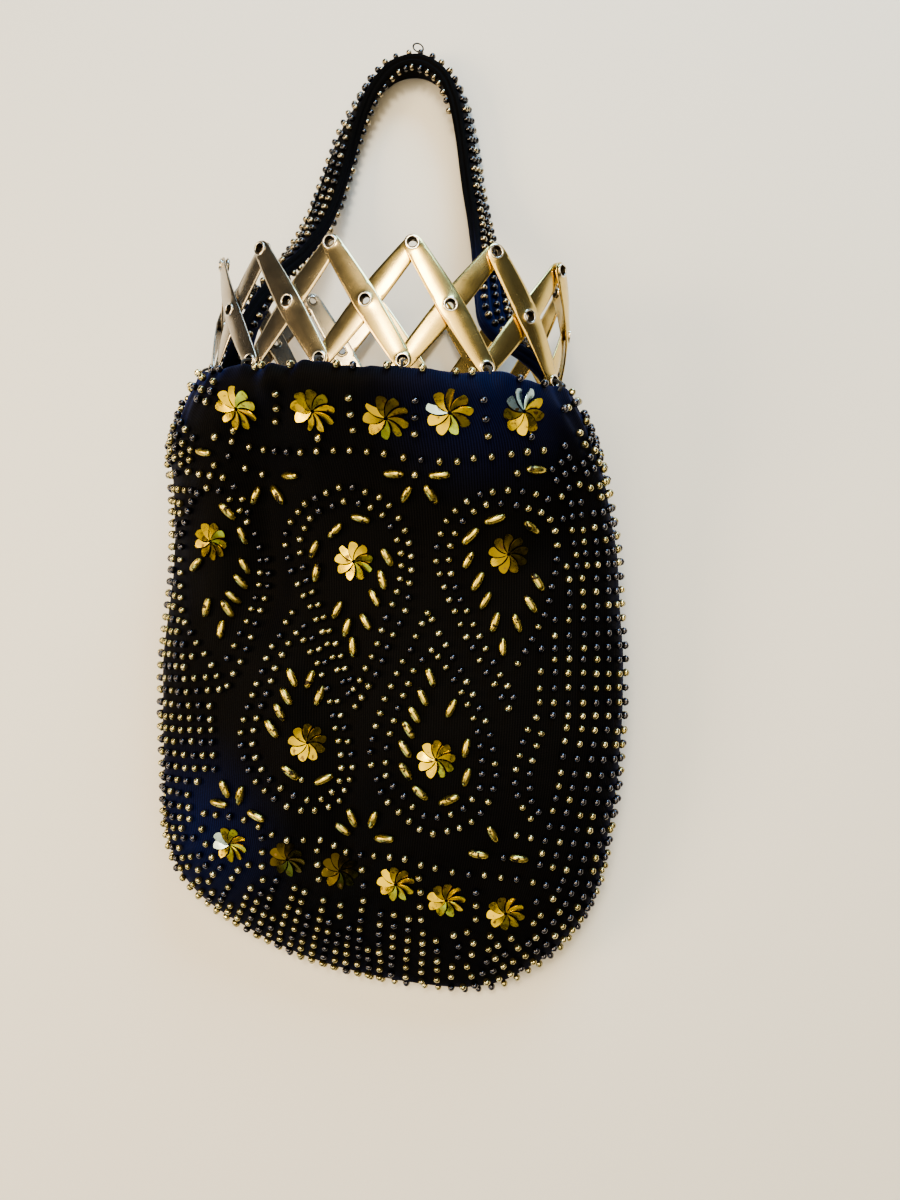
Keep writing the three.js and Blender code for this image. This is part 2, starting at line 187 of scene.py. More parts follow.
def settle(piece, name, finish):
    """Names a finished piece, gives it its material and puts it on the bag's body."""
    piece.name = name
    piece.data.name = name
    piece.data.materials.clear()
    piece.data.materials.append(finish)
    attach(piece, "root")
    return piece


def triangles(piece):
    return sum(len(face.vertices) - 2 for face in piece.data.polygons)


print("helpers ready")

# %% [markdown]
# ## Finishes
# Each material is built from nodes. `new_finish` gives a Principled shader, and `add_node` adds a node
# with its settings and wires in one line. Values that are the same all over are set on the shader.

# %% Helpers for materials
def new_finish(name, **constants):
    finish = bpy.data.materials.new(name)
    finish.use_nodes = True
    shader = finish.node_tree.nodes["Principled BSDF"]
    for socket, value in constants.items():
        shader.inputs[socket.replace("_", " ")].default_value = value
    return finish, shader


def add_node(finish, kind, wires=None, **settings):
    added = finish.node_tree.nodes.new(kind)
    for setting, value in settings.items():
        setattr(added, setting, value)
    for socket, value in (wires or {}).items():
        if isinstance(value, bpy.types.NodeSocket):
            finish.node_tree.links.new(value, added.inputs[socket])
        else:
            added.inputs[socket].default_value = value
    return added


def wire(finish, source, target):
    finish.node_tree.links.new(source, target)


def ramp(finish, source, *stops):
    """A colour ramp: each stop is a place from 0 to 1 and a colour."""
    added = add_node(finish, "ShaderNodeValToRGB", {"Fac": source})
    added.color_ramp.elements[0].position = stops[0][0]
    added.color_ramp.elements[0].color = (*stops[0][1], 1.0)
    added.color_ramp.elements[1].position = stops[-1][0]
    added.color_ramp.elements[1].color = (*stops[-1][1], 1.0)
    for place, colour in stops[1:-1]:
        added.color_ramp.elements.new(place).color = (*colour, 1.0)
    return added.outputs["Color"]


COLOUR_A, COLOUR_B, COLOUR_OUT = 6, 7, 2     # a Mix node's sockets where it mixes colours


def mix_colours(finish, share, first, second, **settings):
    """A mix of two colours, each of them a socket or a plain colour."""
    wires = {"Factor": share, COLOUR_A: first, COLOUR_B: second}
    mixed = add_node(finish, "ShaderNodeMix", wires, data_type="RGBA", **settings)
    return mixed.outputs[COLOUR_OUT]


print("material helpers ready")

# %% [markdown]
# ### The cloth
# A fine ribbed black silk with a blue cast where light grazes it. The ribs run from the mouth to the
# foot, so they follow the cloth's own UV map, which is laid out in metres: a wave across it is one
# rib per turn. A second, weaker wave breaks each rib into threads, and a slow noise fades the black.
# The blue is partly a sheen, which is strongest near the mouth, and partly painted: in a few patches, at
# the rim, low on the left and on the strap, blue light is painted into the silk's colour. A patch is a
# place and a reach.

# %% Patches of painted blue light
# painted blue light: patches where the blue of window light is painted into the silk's colour
PAINTED_BLUE_PATCHES = [
    # middle of the patch, how far it reaches
    (Vector((38, 26, 62)) * MM, 42 * MM),
    (Vector((-66, -116, 28)) * MM, 44 * MM),
    (Vector((42, 60, 30)) * MM, 38 * MM),
]


def painted_blue_share(finish, place):
    """How much painted blue light the silk takes: 1 in the middle of a patch, 0 at its reach and beyond.
    """
    shares = []
    for middle, reach in PAINTED_BLUE_PATCHES:
        away = add_node(finish, "ShaderNodeVectorMath", {0: place, 1: middle}, operation="DISTANCE")
        patch = add_node(finish, "ShaderNodeMapRange", {
            "Value": away.outputs["Value"], "From Max": reach, "To Min": 1.0, "To Max": 0.0},
            interpolation_type="SMOOTHSTEP")
        shares.append(patch.outputs["Result"])
    whole = shares[0]
    for share in shares[1:]:
        both = add_node(finish, "ShaderNodeMath", {0: whole, 1: share}, operation="MAXIMUM")
        whole = both.outputs["Value"]
    return whole


print("navy patches:", len(PAINTED_BLUE_PATCHES))

# %% Ribbed silk
RIB, STRAP_RIB = 0.85 * MM, 0.595 * MM
PICK = 0.6                  # a thread across the ribs, as a share of a rib's width
WAVE_TURN = 0.314159        # a band texture of scale 1 repeats after this length
WEAVE_LOW, WEAVE_HIGH = 0.25, 0.8
BLACK_DARK, BLACK_LIGHT = (0.0007, 0.0006, 0.0006), (0.0036, 0.0033, 0.0033)
# colours of the painted blue light, dark and bright between the ribs
PAINTED_BLUE_DARK, PAINTED_BLUE_BRIGHT = (0.0012, 0.0024, 0.016), (0.0042, 0.009, 0.06)
SHEEN_BLUE = (0.06, 0.16, 0.9, 1.0)


def ribbed_cloth(name, rib, plain_at, plain_sheen, blue_at, blue_sheen):
    """Ribbed silk whose sheen goes from plain to blue between two places along the bag."""
    finish, shader = new_finish(name, Sheen_Roughness=0.35, Sheen_Tint=SHEEN_BLUE,
                                Specular_IOR_Level=0.06)
    places = add_node(finish, "ShaderNodeTexCoord")
    place = add_node(finish, "ShaderNodeSeparateXYZ", {"Vector": places.outputs["Object"]})
    sheen = add_node(finish, "ShaderNodeMapRange", {
        "Value": place.outputs["Y"], "From Min": plain_at, "From Max": blue_at,
        "To Min": plain_sheen, "To Max": blue_sheen})
    wire(finish, sheen.outputs["Result"], shader.inputs["Sheen Weight"])
    ribs = add_node(finish, "ShaderNodeTexWave", {
        "Vector": places.outputs["UV"], "Scale": WAVE_TURN / rib, "Distortion": 0.8,
        "Detail": 1.0, "Detail Scale": 0.6}, bands_direction="X")
    picks = add_node(finish, "ShaderNodeTexWave", {
        "Vector": places.outputs["UV"], "Scale": WAVE_TURN / (PICK * rib), "Distortion": 1.2},
        bands_direction="Y")
    weave = add_node(finish, "ShaderNodeMix", {
        "Factor": 0.28, "A": ribs.outputs["Fac"], "B": picks.outputs["Fac"]}, data_type="FLOAT")
    fade = add_node(finish, "ShaderNodeTexNoise", {
        "Vector": places.outputs["Object"], "Scale": 42.0, "Detail": 4.0, "Roughness": 0.6})
    black = ramp(finish, weave.outputs["Result"], (WEAVE_LOW, BLACK_DARK), (WEAVE_HIGH, BLACK_LIGHT))
    painted_blue = ramp(finish, weave.outputs["Result"], (WEAVE_LOW, PAINTED_BLUE_DARK), (WEAVE_HIGH, PAINTED_BLUE_BRIGHT))
    faded = ramp(finish, fade.outputs["Fac"], (0.35, (0.7, 0.7, 0.72)), (0.75, (1.5, 1.45, 1.45)))
    faded_black = mix_colours(finish, 1.0, black, faded, blend_type="MULTIPLY")
    # the painted blue light is mixed into the black by place
    with_painted_blue = mix_colours(finish, painted_blue_share(finish, places.outputs["Object"]), faded_black, painted_blue)
    wire(finish, with_painted_blue, shader.inputs["Base Color"])
    rough = add_node(finish, "ShaderNodeMapRange", {
        "Value": fade.outputs["Fac"], "To Min": 0.52, "To Max": 0.8})
    wire(finish, rough.outputs["Result"], shader.inputs["Roughness"])
    bump = add_node(finish, "ShaderNodeBump", {
        "Height": weave.outputs["Result"], "Strength": 0.55, "Distance": 0.12 * MM})
    wire(finish, bump.outputs["Normal"], shader.inputs["Normal"])
    return finish


pouch_cloth = ribbed_cloth("black_ribbed_silk", RIB, plain_at=14 * MM, plain_sheen=0.09,
                           blue_at=30 * MM, blue_sheen=0.3)
strap_cloth = ribbed_cloth("black_strap_silk", STRAP_RIB, plain_at=110 * MM, plain_sheen=0.04,
                           blue_at=60 * MM, blue_sheen=0.2)
print("ribs every", round(RIB / MM, 2), "mm on the pouch,", round(STRAP_RIB / MM, 2), "mm on the strap")

# %% [markdown]
# ### Metals, beads and thread
# The slats are satin champagne-coloured metal, with faint traces of brushing along their length. Towards
# the left of the ring their colour turns greyer: a painted reflection of cooler light. The eyelets are
# plated brighter. The pinwheel spangles and the long beads have a thin gilt that has worn off in spots, so
# noise uncovers the dark under it. The round beads take their colour from an attribute that each bead
# carries, because no two in a hank match.

# %% Slat and eyelet metal
COOL_REFLECTION_FULL_AT, COOL_REFLECTION_GONE_AT = -42 * MM, 26 * MM      # along X, where the painted cool reflection is full and where it has gone
# painted reflection: the greyer colour of cooler light, painted on the left slats
PAINTED_COOL_REFLECTION = (0.50, 0.45, 0.38)


def satin_metal(name, light, dark, rough_low, rough_high, cool_reflection=None):
    """Brushed metal. Where a cool reflection colour is given, it is painted in at the left of the bag: a
    painted reflection.
    """
    finish, shader = new_finish(name, Metallic=1.0)
    places = add_node(finish, "ShaderNodeTexCoord")
    stretch = add_node(finish, "ShaderNodeMapping", {
        "Vector": places.outputs["UV"], "Scale": (40.0, 2600.0, 1.0)})
    brush = add_node(finish, "ShaderNodeTexNoise", {
        "Vector": stretch.outputs["Vector"], "Scale": 1.0, "Detail": 3.0})
    cloud = add_node(finish, "ShaderNodeTexNoise", {
        "Vector": places.outputs["Object"], "Scale": 160.0, "Detail": 5.0, "Roughness": 0.65})
    tone = add_node(finish, "ShaderNodeMix", {
        "Factor": 0.75, "A": brush.outputs["Fac"], "B": cloud.outputs["Fac"]}, data_type="FLOAT")
    colour = ramp(finish, tone.outputs["Result"], (0.3, dark), (0.62, light))
    # the painted cool reflection fades in towards the left
    if cool_reflection:
        place = add_node(finish, "ShaderNodeSeparateXYZ", {"Vector": places.outputs["Object"]})
        gilt_and_painted_light = add_node(finish, "ShaderNodeMapRange", {
            "Value": place.outputs["X"], "From Min": COOL_REFLECTION_FULL_AT, "From Max": COOL_REFLECTION_GONE_AT},
            interpolation_type="SMOOTHSTEP")
        colour = mix_colours(finish, gilt_and_painted_light.outputs["Result"], (*cool_reflection, 1.0), colour)
    wire(finish, colour, shader.inputs["Base Color"])
    rough = add_node(finish, "ShaderNodeMapRange", {
        "Value": tone.outputs["Result"], "From Min": 0.3, "From Max": 0.7,
        "To Min": rough_high, "To Max": rough_low})
    wire(finish, rough.outputs["Result"], shader.inputs["Roughness"])
    bump = add_node(finish, "ShaderNodeBump", {
        "Height": brush.outputs["Fac"], "Strength": 0.02, "Distance": 0.05 * MM})
    wire(finish, bump.outputs["Normal"], shader.inputs["Normal"])
    return finish


# the slats take the painted cool reflection at the left
slat_metal = satin_metal("champagne_slat", light=(0.76, 0.58, 0.23), dark=(0.66, 0.49, 0.19),
                         rough_low=0.2, rough_high=0.3, cool_reflection=PAINTED_COOL_REFLECTION)
# painted shade for the inside of the eyelet bores
painted_shade_bore = satin_metal("painted_shade_eyelet_bore", light=(0.09, 0.07, 0.045), dark=(0.03, 0.024, 0.018),
                         rough_low=0.4, rough_high=0.6)
eyelet_metal = satin_metal("bright_eyelet", light=(0.90, 0.87, 0.80), dark=(0.72, 0.67, 0.58),
                           rough_low=0.12, rough_high=0.28)
print("metals ready")

# %% Worn gilt
def worn_gilt(name, gilt, bare, scale, worn_from, worn_to):
    """Gilt that has worn off in spots. The colour attribute tints each petal: dull gilt, painted shade on
    two spangles, and a painted window reflection on one side of three.
    """
    finish, shader = new_finish(name, Metallic=1.0)
    places = add_node(finish, "ShaderNodeTexCoord")
    spots = add_node(finish, "ShaderNodeTexNoise", {
        "Vector": places.outputs["Object"], "Scale": scale, "Detail": 3.0, "Roughness": 0.55})
    own = add_node(finish, "ShaderNodeAttribute", attribute_name="tint")
    gilt_and_painted_light = mix_colours(finish, 1.0, own.outputs["Color"], (*gilt, 1.0), blend_type="MULTIPLY")
    worn = add_node(finish, "ShaderNodeMapRange", {
        "Value": spots.outputs["Fac"], "From Min": worn_from, "From Max": worn_to})
    colour = mix_colours(finish, worn.outputs["Result"], gilt_and_painted_light, (*bare, 1.0))
    wire(finish, colour, shader.inputs["Base Color"])
    rough = add_node(finish, "ShaderNodeMapRange", {
        "Value": spots.outputs["Fac"], "From Min": 0.3, "From Max": worn_to,
        "To Min": 0.18, "To Max": 0.42})
    wire(finish, rough.outputs["Result"], shader.inputs["Roughness"])
    return finish


spangle_gilt = worn_gilt("pale_gilt_spangle", gilt=(0.62, 0.48, 0.05), bare=(0.15, 0.10, 0.04),
                         scale=420.0, worn_from=0.61, worn_to=0.68)
rice_gilt = worn_gilt("gold_long_bead", gilt=(0.58, 0.47, 0.13), bare=(0.035, 0.028, 0.02),
                      scale=520.0, worn_from=0.56, worn_to=0.61)
print("gilt ready")

# %% Bead glass and thread
bead_glass, bead_shader = new_finish("lustred_round_bead", Metallic=0.95, Coat_Weight=0.6,
                                     Coat_Roughness=0.1)
bead_tint = add_node(bead_glass, "ShaderNodeAttribute", attribute_name="tint")
wire(bead_glass, bead_tint.outputs["Color"], bead_shader.inputs["Base Color"])
bead_places = add_node(bead_glass, "ShaderNodeTexCoord")
bead_spots = add_node(bead_glass, "ShaderNodeTexNoise", {
    "Vector": bead_places.outputs["Object"], "Scale": 700.0, "Detail": 2.0})
bead_rough = add_node(bead_glass, "ShaderNodeMapRange", {
    "Value": bead_spots.outputs["Fac"], "To Min": 0.07, "To Max": 0.17})
wire(bead_glass, bead_rough.outputs["Result"], bead_shader.inputs["Roughness"])

black_thread, thread_shader = new_finish("black_sewing_thread", Sheen_Weight=0.3)
thread_places = add_node(black_thread, "ShaderNodeTexCoord")
thread_twist = add_node(black_thread, "ShaderNodeTexNoise", {
    "Vector": thread_places.outputs["Object"], "Scale": 2400.0, "Detail": 1.0})
thread_black = ramp(black_thread, thread_twist.outputs["Fac"], (0.35, (0.002, 0.002, 0.003)),
                    (0.7, (0.012, 0.012, 0.016)))
wire(black_thread, thread_black, thread_shader.inputs["Base Color"])
thread_rough = add_node(black_thread, "ShaderNodeMapRange", {
    "Value": thread_twist.outputs["Fac"], "To Min": 0.5, "To Max": 0.75})
wire(black_thread, thread_rough.outputs["Result"], thread_shader.inputs["Roughness"])
print("beads and thread ready")

# %% [markdown]
# ## Reading a lofted solid
# The pouch and the strap are lofts: rings of corners joined one after the other, closed by a hub at
# each end. A copy of the solid's mesh has its loose corners merged, and from a hub the rings can be
# walked one by one: the hub's neighbours, then theirs, and so on. The smooth cloth is then drawn
# through the same rings, so it lies where the solid lies.

# %% Rings of a loft
def loft_rings(node, size, first_hub):
    """Rings of a lofted solid as an array, walked from the hub that the key finds."""
    mesh = bmesh.new()
    mesh.from_mesh(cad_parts[node].data)
    bmesh.ops.remove_doubles(mesh, verts=mesh.verts, dist=2 * SAME_PLACE)
    hub = min((v for v in mesh.verts if len(v.link_edges) == size), key=first_hub)
    seen = {hub}
    layer = {edge.other_vert(hub) for edge in hub.link_edges}
    rings = []
    while len(layer) == size:
        start = min(layer, key=lambda v: v.co.x)
        beside = [e.other_vert(start) for e in start.link_edges if e.other_vert(start) in layer]
        ring = [start, max(beside, key=lambda v: v.co.z)]
        while len(ring) < size:
            last, before = ring[-1], ring[-2]
            beside = [e.other_vert(last) for e in last.link_edges if e.other_vert(last) in layer]
            ring.append(next(v for v in beside if v is not before))
        rings.append([tuple(v.co) for v in ring])
        seen |= layer
        layer = {e.other_vert(v) for v in layer for e in v.link_edges} - seen
    mesh.free()
    return np.array(rings)


def untwisted(rings):
    """Turns each ring's count of corners so that it follows the ring before it."""
    size = rings.shape[1]
    straight = [rings[0]]
    for ring in rings[1:]:
        before = straight[-1] - straight[-1].mean(axis=0)
        here = ring - ring.mean(axis=0)
        choices = [np.roll(order, turn) for order in (np.arange(size), np.arange(size)[::-1])
                   for turn in range(size)]
        best = min(choices, key=lambda order: np.linalg.norm(here[order] - before, axis=1).sum())
        straight.append(ring[best])
    return np.array(straight)


print("loft readers ready")

# %% [markdown]
# A smooth line through points could be a curve object, but its points are wanted here as numbers, to
# lay cloth and beads on them. So each stretch between two points is a cubic that also looks at the
# point before and the point after: the line goes through every point and has no corner there.

# %% Smooth lines through points
def smooth_at(points, places, closed):
    """Points of a smooth curve through the first axis, at fractional places along it."""
    count = len(points)
    before = np.floor(places).astype(int)
    share = (places - before).reshape(-1, *[1] * (points.ndim - 1))

    def pick(offset):
        index = before + offset
        return points[index % count] if closed else points[np.clip(index, 0, count - 1)]

    a, b, c, d = pick(-1), pick(0), pick(1), pick(2)
    return b + 0.5 * share * (c - a + share * (2 * a - 5 * b + 4 * c - d + share * (3 * (b - c) + d - a)))


def even_places(points, count, closed):
    """Fractional places along the first axis that lie evenly by length."""
    line = np.concatenate([points, points[:1]]) if closed else points
    steps = np.linalg.norm(np.diff(line, axis=0), axis=-1)
    if steps.ndim > 1:
        steps = steps.mean(axis=1)
    length = np.concatenate([[0.0], np.cumsum(steps)])
    wanted = np.linspace(0.0, length[-1], count + 1 if closed else count)
    if closed:
        wanted = wanted[:-1]
    return np.interp(wanted, length, np.arange(len(length)))


def run_of(points):
    """The length travelled along a line of points, at each of them."""
    steps = np.linalg.norm(np.diff(points, axis=0), axis=1)
    return np.concatenate([[0.0], np.cumsum(steps)])


def along_line(points, run, travelled):
    """The place at a length along a line of points, and the way the line goes on from there."""
    here, ahead = (Vector([np.interp(length, run, points[:, k]) for k in range(3)])
                   for length in (travelled, travelled + MM))
    return here, (ahead - here).normalized()


print("line helpers ready")

# %% Rings of the pouch and the strap
FRONT_STEPS, BACK_STEPS = 20, 12         # corners of each ring of the pouch
OUTER_ROWS = 18                          # its rings from the foot to the rim, without those inside
STRAP_CORNERS = 8
foot_first = loft_rings("bag_body", FRONT_STEPS + BACK_STEPS, first_hub=lambda v: v.co.y)
pouch_rings = foot_first[:OUTER_ROWS][::-1]
strap_rings = untwisted(loft_rings("handle_strap", STRAP_CORNERS, first_hub=lambda v: v.co.x))
print("pouch rings:", pouch_rings.shape, "strap rings:", strap_rings.shape)

# %% [markdown]
# ## The lattice ring's pivots
# Twelve pairs of slats cross round an oval. Every pivot lies on that oval at a known share of its
# length, so a short function gives any pivot and its outward direction. It is used for the eyelets,
# for the threads that hang the cloth, and for the gathers between them.

# %% Pivots on the oval
UNITS = 12
OVAL_WIDE, OVAL_DEEP = 57.6, 34.8        # half axes; these and the next are in millimetres
RING_CENTRE = Vector((5.206, 50.57, 40.6))
PIVOT_RISE = 17.5
RING_TURN, RING_LEAN, RING_PHASE = -0.079, -0.12, 0.53
OVAL_STEPS = 1440

oval_angle = math.pi - np.linspace(0, 2 * math.pi, OVAL_STEPS + 1)
oval_x = OVAL_WIDE * np.cos(oval_angle)
oval_z = OVAL_DEEP * np.sin(oval_angle)
oval_run = np.concatenate([[0.0], np.cumsum(np.hypot(np.diff(oval_x), np.diff(oval_z)))])
oval_run /= oval_run[-1]
turn_ring = Matrix.Rotation(RING_TURN, 3, "Z")


def on_ring(share, rise, out):
    """A point by its share of the way round, its rise along the bag and its distance outwards."""
    angle = float(np.interp(share % 1.0, oval_run, oval_angle))
    along = Vector((OVAL_WIDE * math.sin(angle), -OVAL_DEEP * math.cos(angle))).normalized()
    x = OVAL_WIDE * math.cos(angle) - along.y * out
    z = OVAL_DEEP * math.sin(angle) + along.x * out
    return (turn_ring @ Vector((x, rise + RING_LEAN * z, z)) + RING_CENTRE) * MM


def column_share(column):
    return (column + RING_PHASE) / UNITS


foot_pivots = [on_ring(column_share(k), -PIVOT_RISE, 0) for k in range(UNITS)]
print("first foot pivot:", [round(x / MM, 1) for x in foot_pivots[0]])

# %% [markdown]
# ## The cloth pouch
# A pouch like this is two panels sewn together and gathered on to the frame. It could be a cloth
# simulation, but its folds are known from the photograph and already in the solid, so a grid is laid
# on the solid's rings instead, and the small things are added to it: gathers under the rim, a pull
# at each sewn eyelet, and soft wrinkles. Close to each spangle the cloth stays as the solid has it.

# %% Lay a grid on the rings
AROUND, ALONG = 160, 60
FOOT_SHRINK = (0.62, 0.25, 0.0)

hub = pouch_rings[-1].mean(axis=0)
closing = [hub + (pouch_rings[-1] - hub) * share for share in FOOT_SHRINK]
cloth_rings = np.concatenate([pouch_rings, closing])
rows = smooth_at(cloth_rings, even_places(cloth_rings, ALONG, False), False)
columns = rows.transpose(1, 0, 2)
column_places = even_places(columns, AROUND, True)
cloth_points = smooth_at(columns, column_places, True)
RIGHT_SEAM = int(np.argmin(abs(column_places - FRONT_STEPS)))
row_steps = np.linalg.norm(np.diff(cloth_points, axis=1), axis=2).mean(axis=0)
below_rim = np.concatenate([[0.0], np.cumsum(row_steps)])
ring_steps = np.linalg.norm(np.roll(cloth_points, -1, axis=0) - cloth_points, axis=2)
PERIMETER = ring_steps.sum(axis=0).max()
print("cloth grid", cloth_points.shape, "widest round", round(PERIMETER, 3), "m, depth",
      round(below_rim[-1], 3), "m")

# %% Which way the cloth faces, and where it stays quiet
QUIET_NEAR, QUIET_FAR = 7.5 * MM, 14 * MM      # from a spangle: the cloth is as the solid, and free


def ease(low, high, value):
    share = np.clip((value - low) / (high - low), 0.0, 1.0)
    return share * share * (3 - 2 * share)


def grid_normals(points):
    """Outward normals of a grid that is closed round its first axis."""
    round_way = np.roll(points, -1, axis=0) - np.roll(points, 1, axis=0)
    long_way = np.gradient(points, axis=1)
    normals = np.cross(long_way, round_way)
    lengths = np.linalg.norm(normals, axis=2, keepdims=True)
    normals /= np.maximum(lengths, 1e-12)
    outwards = (normals * (points - points.mean(axis=(0, 1)))).sum()
    return normals if outwards > 0 else -normals


spangle_nodes = [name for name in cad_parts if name.startswith("flower_")]
spangle_centres = {}
for name in spangle_nodes:
    low, high = (np.array(corner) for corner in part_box(name))
    spangle_centres[name] = (low + high) / 2

normals = grid_normals(cloth_points)
quiet = np.ones(cloth_points.shape[:2])
for centre in spangle_centres.values():
    away = np.linalg.norm(cloth_points - centre, axis=2)
    quiet = np.minimum(quiet, ease(QUIET_NEAR, QUIET_FAR, away))
print("share of the cloth that is free:", round(float(quiet.mean()), 2))

# %% Gathers and wrinkles
GATHER_FOLDS, GATHER_LONG, GATHER_FADE = 9, 45 * MM, 22 * MM
WRINKLE_SIZE, WRINKLE_STRETCH = 16 * MM, 0.5
FINE_WRINKLE, FINE_SHARE = 2.3, 0.5


def noise_round(column, folds, level):
    """Noise for a column of the grid that meets itself again all the way round."""
    turn = 2 * math.pi * column / AROUND
    return noise.noise(Vector((folds * math.cos(turn), folds * math.sin(turn), level)))


gather = np.zeros_like(quiet)
wrinkle = np.zeros_like(quiet)
for i in range(AROUND):
    for j in range(ALONG):
        fall = below_rim[j]
        gather[i, j] = noise_round(i, GATHER_FOLDS, fall / GATHER_LONG) * math.exp(-fall / GATHER_FADE)
        spot = Vector(cloth_points[i, j]) / WRINKLE_SIZE
        spot.y *= WRINKLE_STRETCH
        wrinkle[i, j] = noise.noise(spot) + FINE_SHARE * noise.noise(spot * FINE_WRINKLE)
print("gathers", round(float(np.ptp(gather)), 2), "wrinkles", round(float(np.ptp(wrinkle)), 2))

# %% Shape the grid
FLOOR_CLEARANCE, CLEARANCE_FADE = 2.7 * MM, 14 * MM     # room under the back for the beads sewn there
GATHER_DEPTH, WRINKLE_DEPTH = 2.6 * MM, 0.9 * MM
CALM_FOOT = 25 * MM                     # the wrinkles fade out over this length of the foot
PULL_IN, PULL_UP, PULL_FADE = 1.5 * MM, 1.3 * MM, 9 * MM
PULL_LEAST, SAG = 0.4, 0.6              # between the eyelets, as shares of the pull in and up
PUFF, PUFF_REACH = 1.2 * MM, 19.8 * MM
EDGE_FOLDS, EDGE_LEVEL = 14, 3.0
EDGE_WANDER, EDGE_FADE = 1.1 * MM, 3 * MM
SEWN_REACH = 5 * MM

calm_foot = 1 - ease(below_rim[-1] - CALM_FOOT, below_rim[-1], below_rim)
lift = FLOOR_CLEARANCE * (1 - ease(0.0, CLEARANCE_FADE, cloth_points[:, :, 2]))
depth = (GATHER_DEPTH * gather + WRINKLE_DEPTH * wrinkle * calm_foot) * quiet
shaped = cloth_points + normals * depth[:, :, None]
shaped[:, :, 2] = np.maximum(shaped[:, :, 2], 0.0) + lift

near_rim = np.exp(-below_rim / PULL_FADE)
near_edge = np.exp(-below_rim / EDGE_FADE)
puffed = np.sin(np.clip(below_rim / PUFF_REACH, 0, 1) * math.pi)
for i in range(AROUND):
    sewn = min((pivot - Vector(cloth_points[i, 0])).length for pivot in foot_pivots)
    hold = math.exp(-(sewn / SEWN_REACH) ** 2)
    pull = near_rim * PULL_IN * (PULL_LEAST + hold) - puffed * PUFF * (1 - hold)
    shaped[i] -= normals[i] * (pull * quiet[i])[:, None]
    rise = PULL_UP * ((1 + SAG) * hold - SAG)
    wander = EDGE_WANDER * noise_round(i, EDGE_FOLDS, EDGE_LEVEL)
    shaped[i, :, 1] += near_rim * rise + near_edge * wander
low, high = shaped.min(axis=(0, 1)), shaped.max(axis=(0, 1))
print("cloth from", np.round(low / MM, 1), "to", np.round(high / MM, 1))

# %% Make the pouch
CLOTH_THICK = 0.9 * MM


def tube_of(points, girth, length, capped):
    """A grid laid on points that go round along their first axis, with its UV map in metres."""
    around, along = points.shape[:2]
    bpy.ops.object.select_all(action="DESELECT")
    bpy.ops.mesh.primitive_grid_add(x_subdivisions=around, y_subdivisions=along - 1, size=2.0)
    piece = bpy.context.object
    for corner in piece.data.vertices:
        i = round((corner.co.x + 1) / 2 * around) % around
        j = round((1 - corner.co.y) / 2 * (along - 1))
        corner.co = points[i, j]
    for loop in piece.data.uv_layers.active.data:
        loop.uv = (loop.uv[0] * girth, loop.uv[1] * length)
    edit_all(piece)
    bpy.ops.mesh.remove_doubles(threshold=SAME_PLACE)
    if capped:
        bpy.ops.mesh.fill_holes(sides=0)
    bpy.ops.mesh.normals_make_consistent(inside=False)
    bpy.ops.object.mode_set(mode="OBJECT")
    return piece


pouch = tube_of(shaped, PERIMETER, below_rim[-1], capped=False)
apply(pouch, "SOLIDIFY", thickness=CLOTH_THICK, offset=-1.0, use_even_offset=False)
apply(pouch, "SUBSURF", levels=1, render_levels=1)
bpy.ops.object.shade_smooth()
settle(pouch, "pouch_cloth", pouch_cloth)
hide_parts("bag_body")

# %% [markdown]
# Two panels of silk, each as wide as half the pouch and as long as its depth with a turned hem, are what
# the pouch is cut from; side by side, they are gathered on the slats.

slat_nodes = sorted(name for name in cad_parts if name.startswith("slat_"))

# %% [markdown]
# ## The slats
# Each slat is a strip of rolled sheet with a rounded outer face, three eyelet holes and rounded ends.
# The solid has its form in few, straight facets. A copy is merged, its triangles joined to quads, its
# hard edges creased and the rest subdivided, so that the octagons round each eyelet become circles.
# A UV map along and across each slat carries the brushing.

# %% Round the slats
HARD_ANGLE, SMOOTH_ANGLE = math.radians(58), math.radians(40)
FLAT_ANGLE, SQUARE_ANGLE = math.radians(25), math.radians(60)     # of two triangles that make a quad
CREASE = 0.85


def rounded_copy(node):
    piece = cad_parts[node].copy()
    piece.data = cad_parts[node].data.copy()
    for key in list(piece.keys()):
        del piece[key]
    piece.parent = None
    bpy.context.scene.collection.objects.link(piece)
    edit_all(piece)
    bpy.ops.mesh.remove_doubles(threshold=SAME_PLACE)
    bpy.ops.mesh.tris_convert_to_quads(face_threshold=FLAT_ANGLE, shape_threshold=SQUARE_ANGLE)
    bpy.ops.mesh.select_all(action="DESELECT")
    bpy.ops.mesh.select_mode(type="EDGE")
    bpy.ops.mesh.edges_select_sharp(sharpness=HARD_ANGLE)
    bpy.ops.transform.edge_crease(value=CREASE)
    bpy.ops.mesh.select_mode(type="VERT")
    bpy.ops.object.mode_set(mode="OBJECT")
    return piece


def brush_map(piece):
    """A UV map in metres, along the piece and across it."""
    points = np.array([v.co for v in piece.data.vertices])
    centred = points - points.mean(axis=0)
    axes = np.linalg.svd(centred, full_matrices=False)[2]
    flat = centred @ axes[:2].T
    uv = piece.data.uv_layers.new(name="brush")
    for loop in piece.data.loops:
        uv.data[loop.index].uv = flat[loop.vertex_index]


slats = []
for name in slat_nodes:
    slat = rounded_copy(name)
    apply(slat, "SUBSURF", levels=2, render_levels=2)
    only(slat)
    bpy.ops.object.shade_smooth_by_angle(angle=SMOOTH_ANGLE)
    brush_map(slat)
    settle(slat, "lattice_" + name, slat_metal)
    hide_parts(name)
    slats.append(slat)
print(len(slats), "slats,", triangles(slats[0]), "and", triangles(slats[-1]), "triangles")

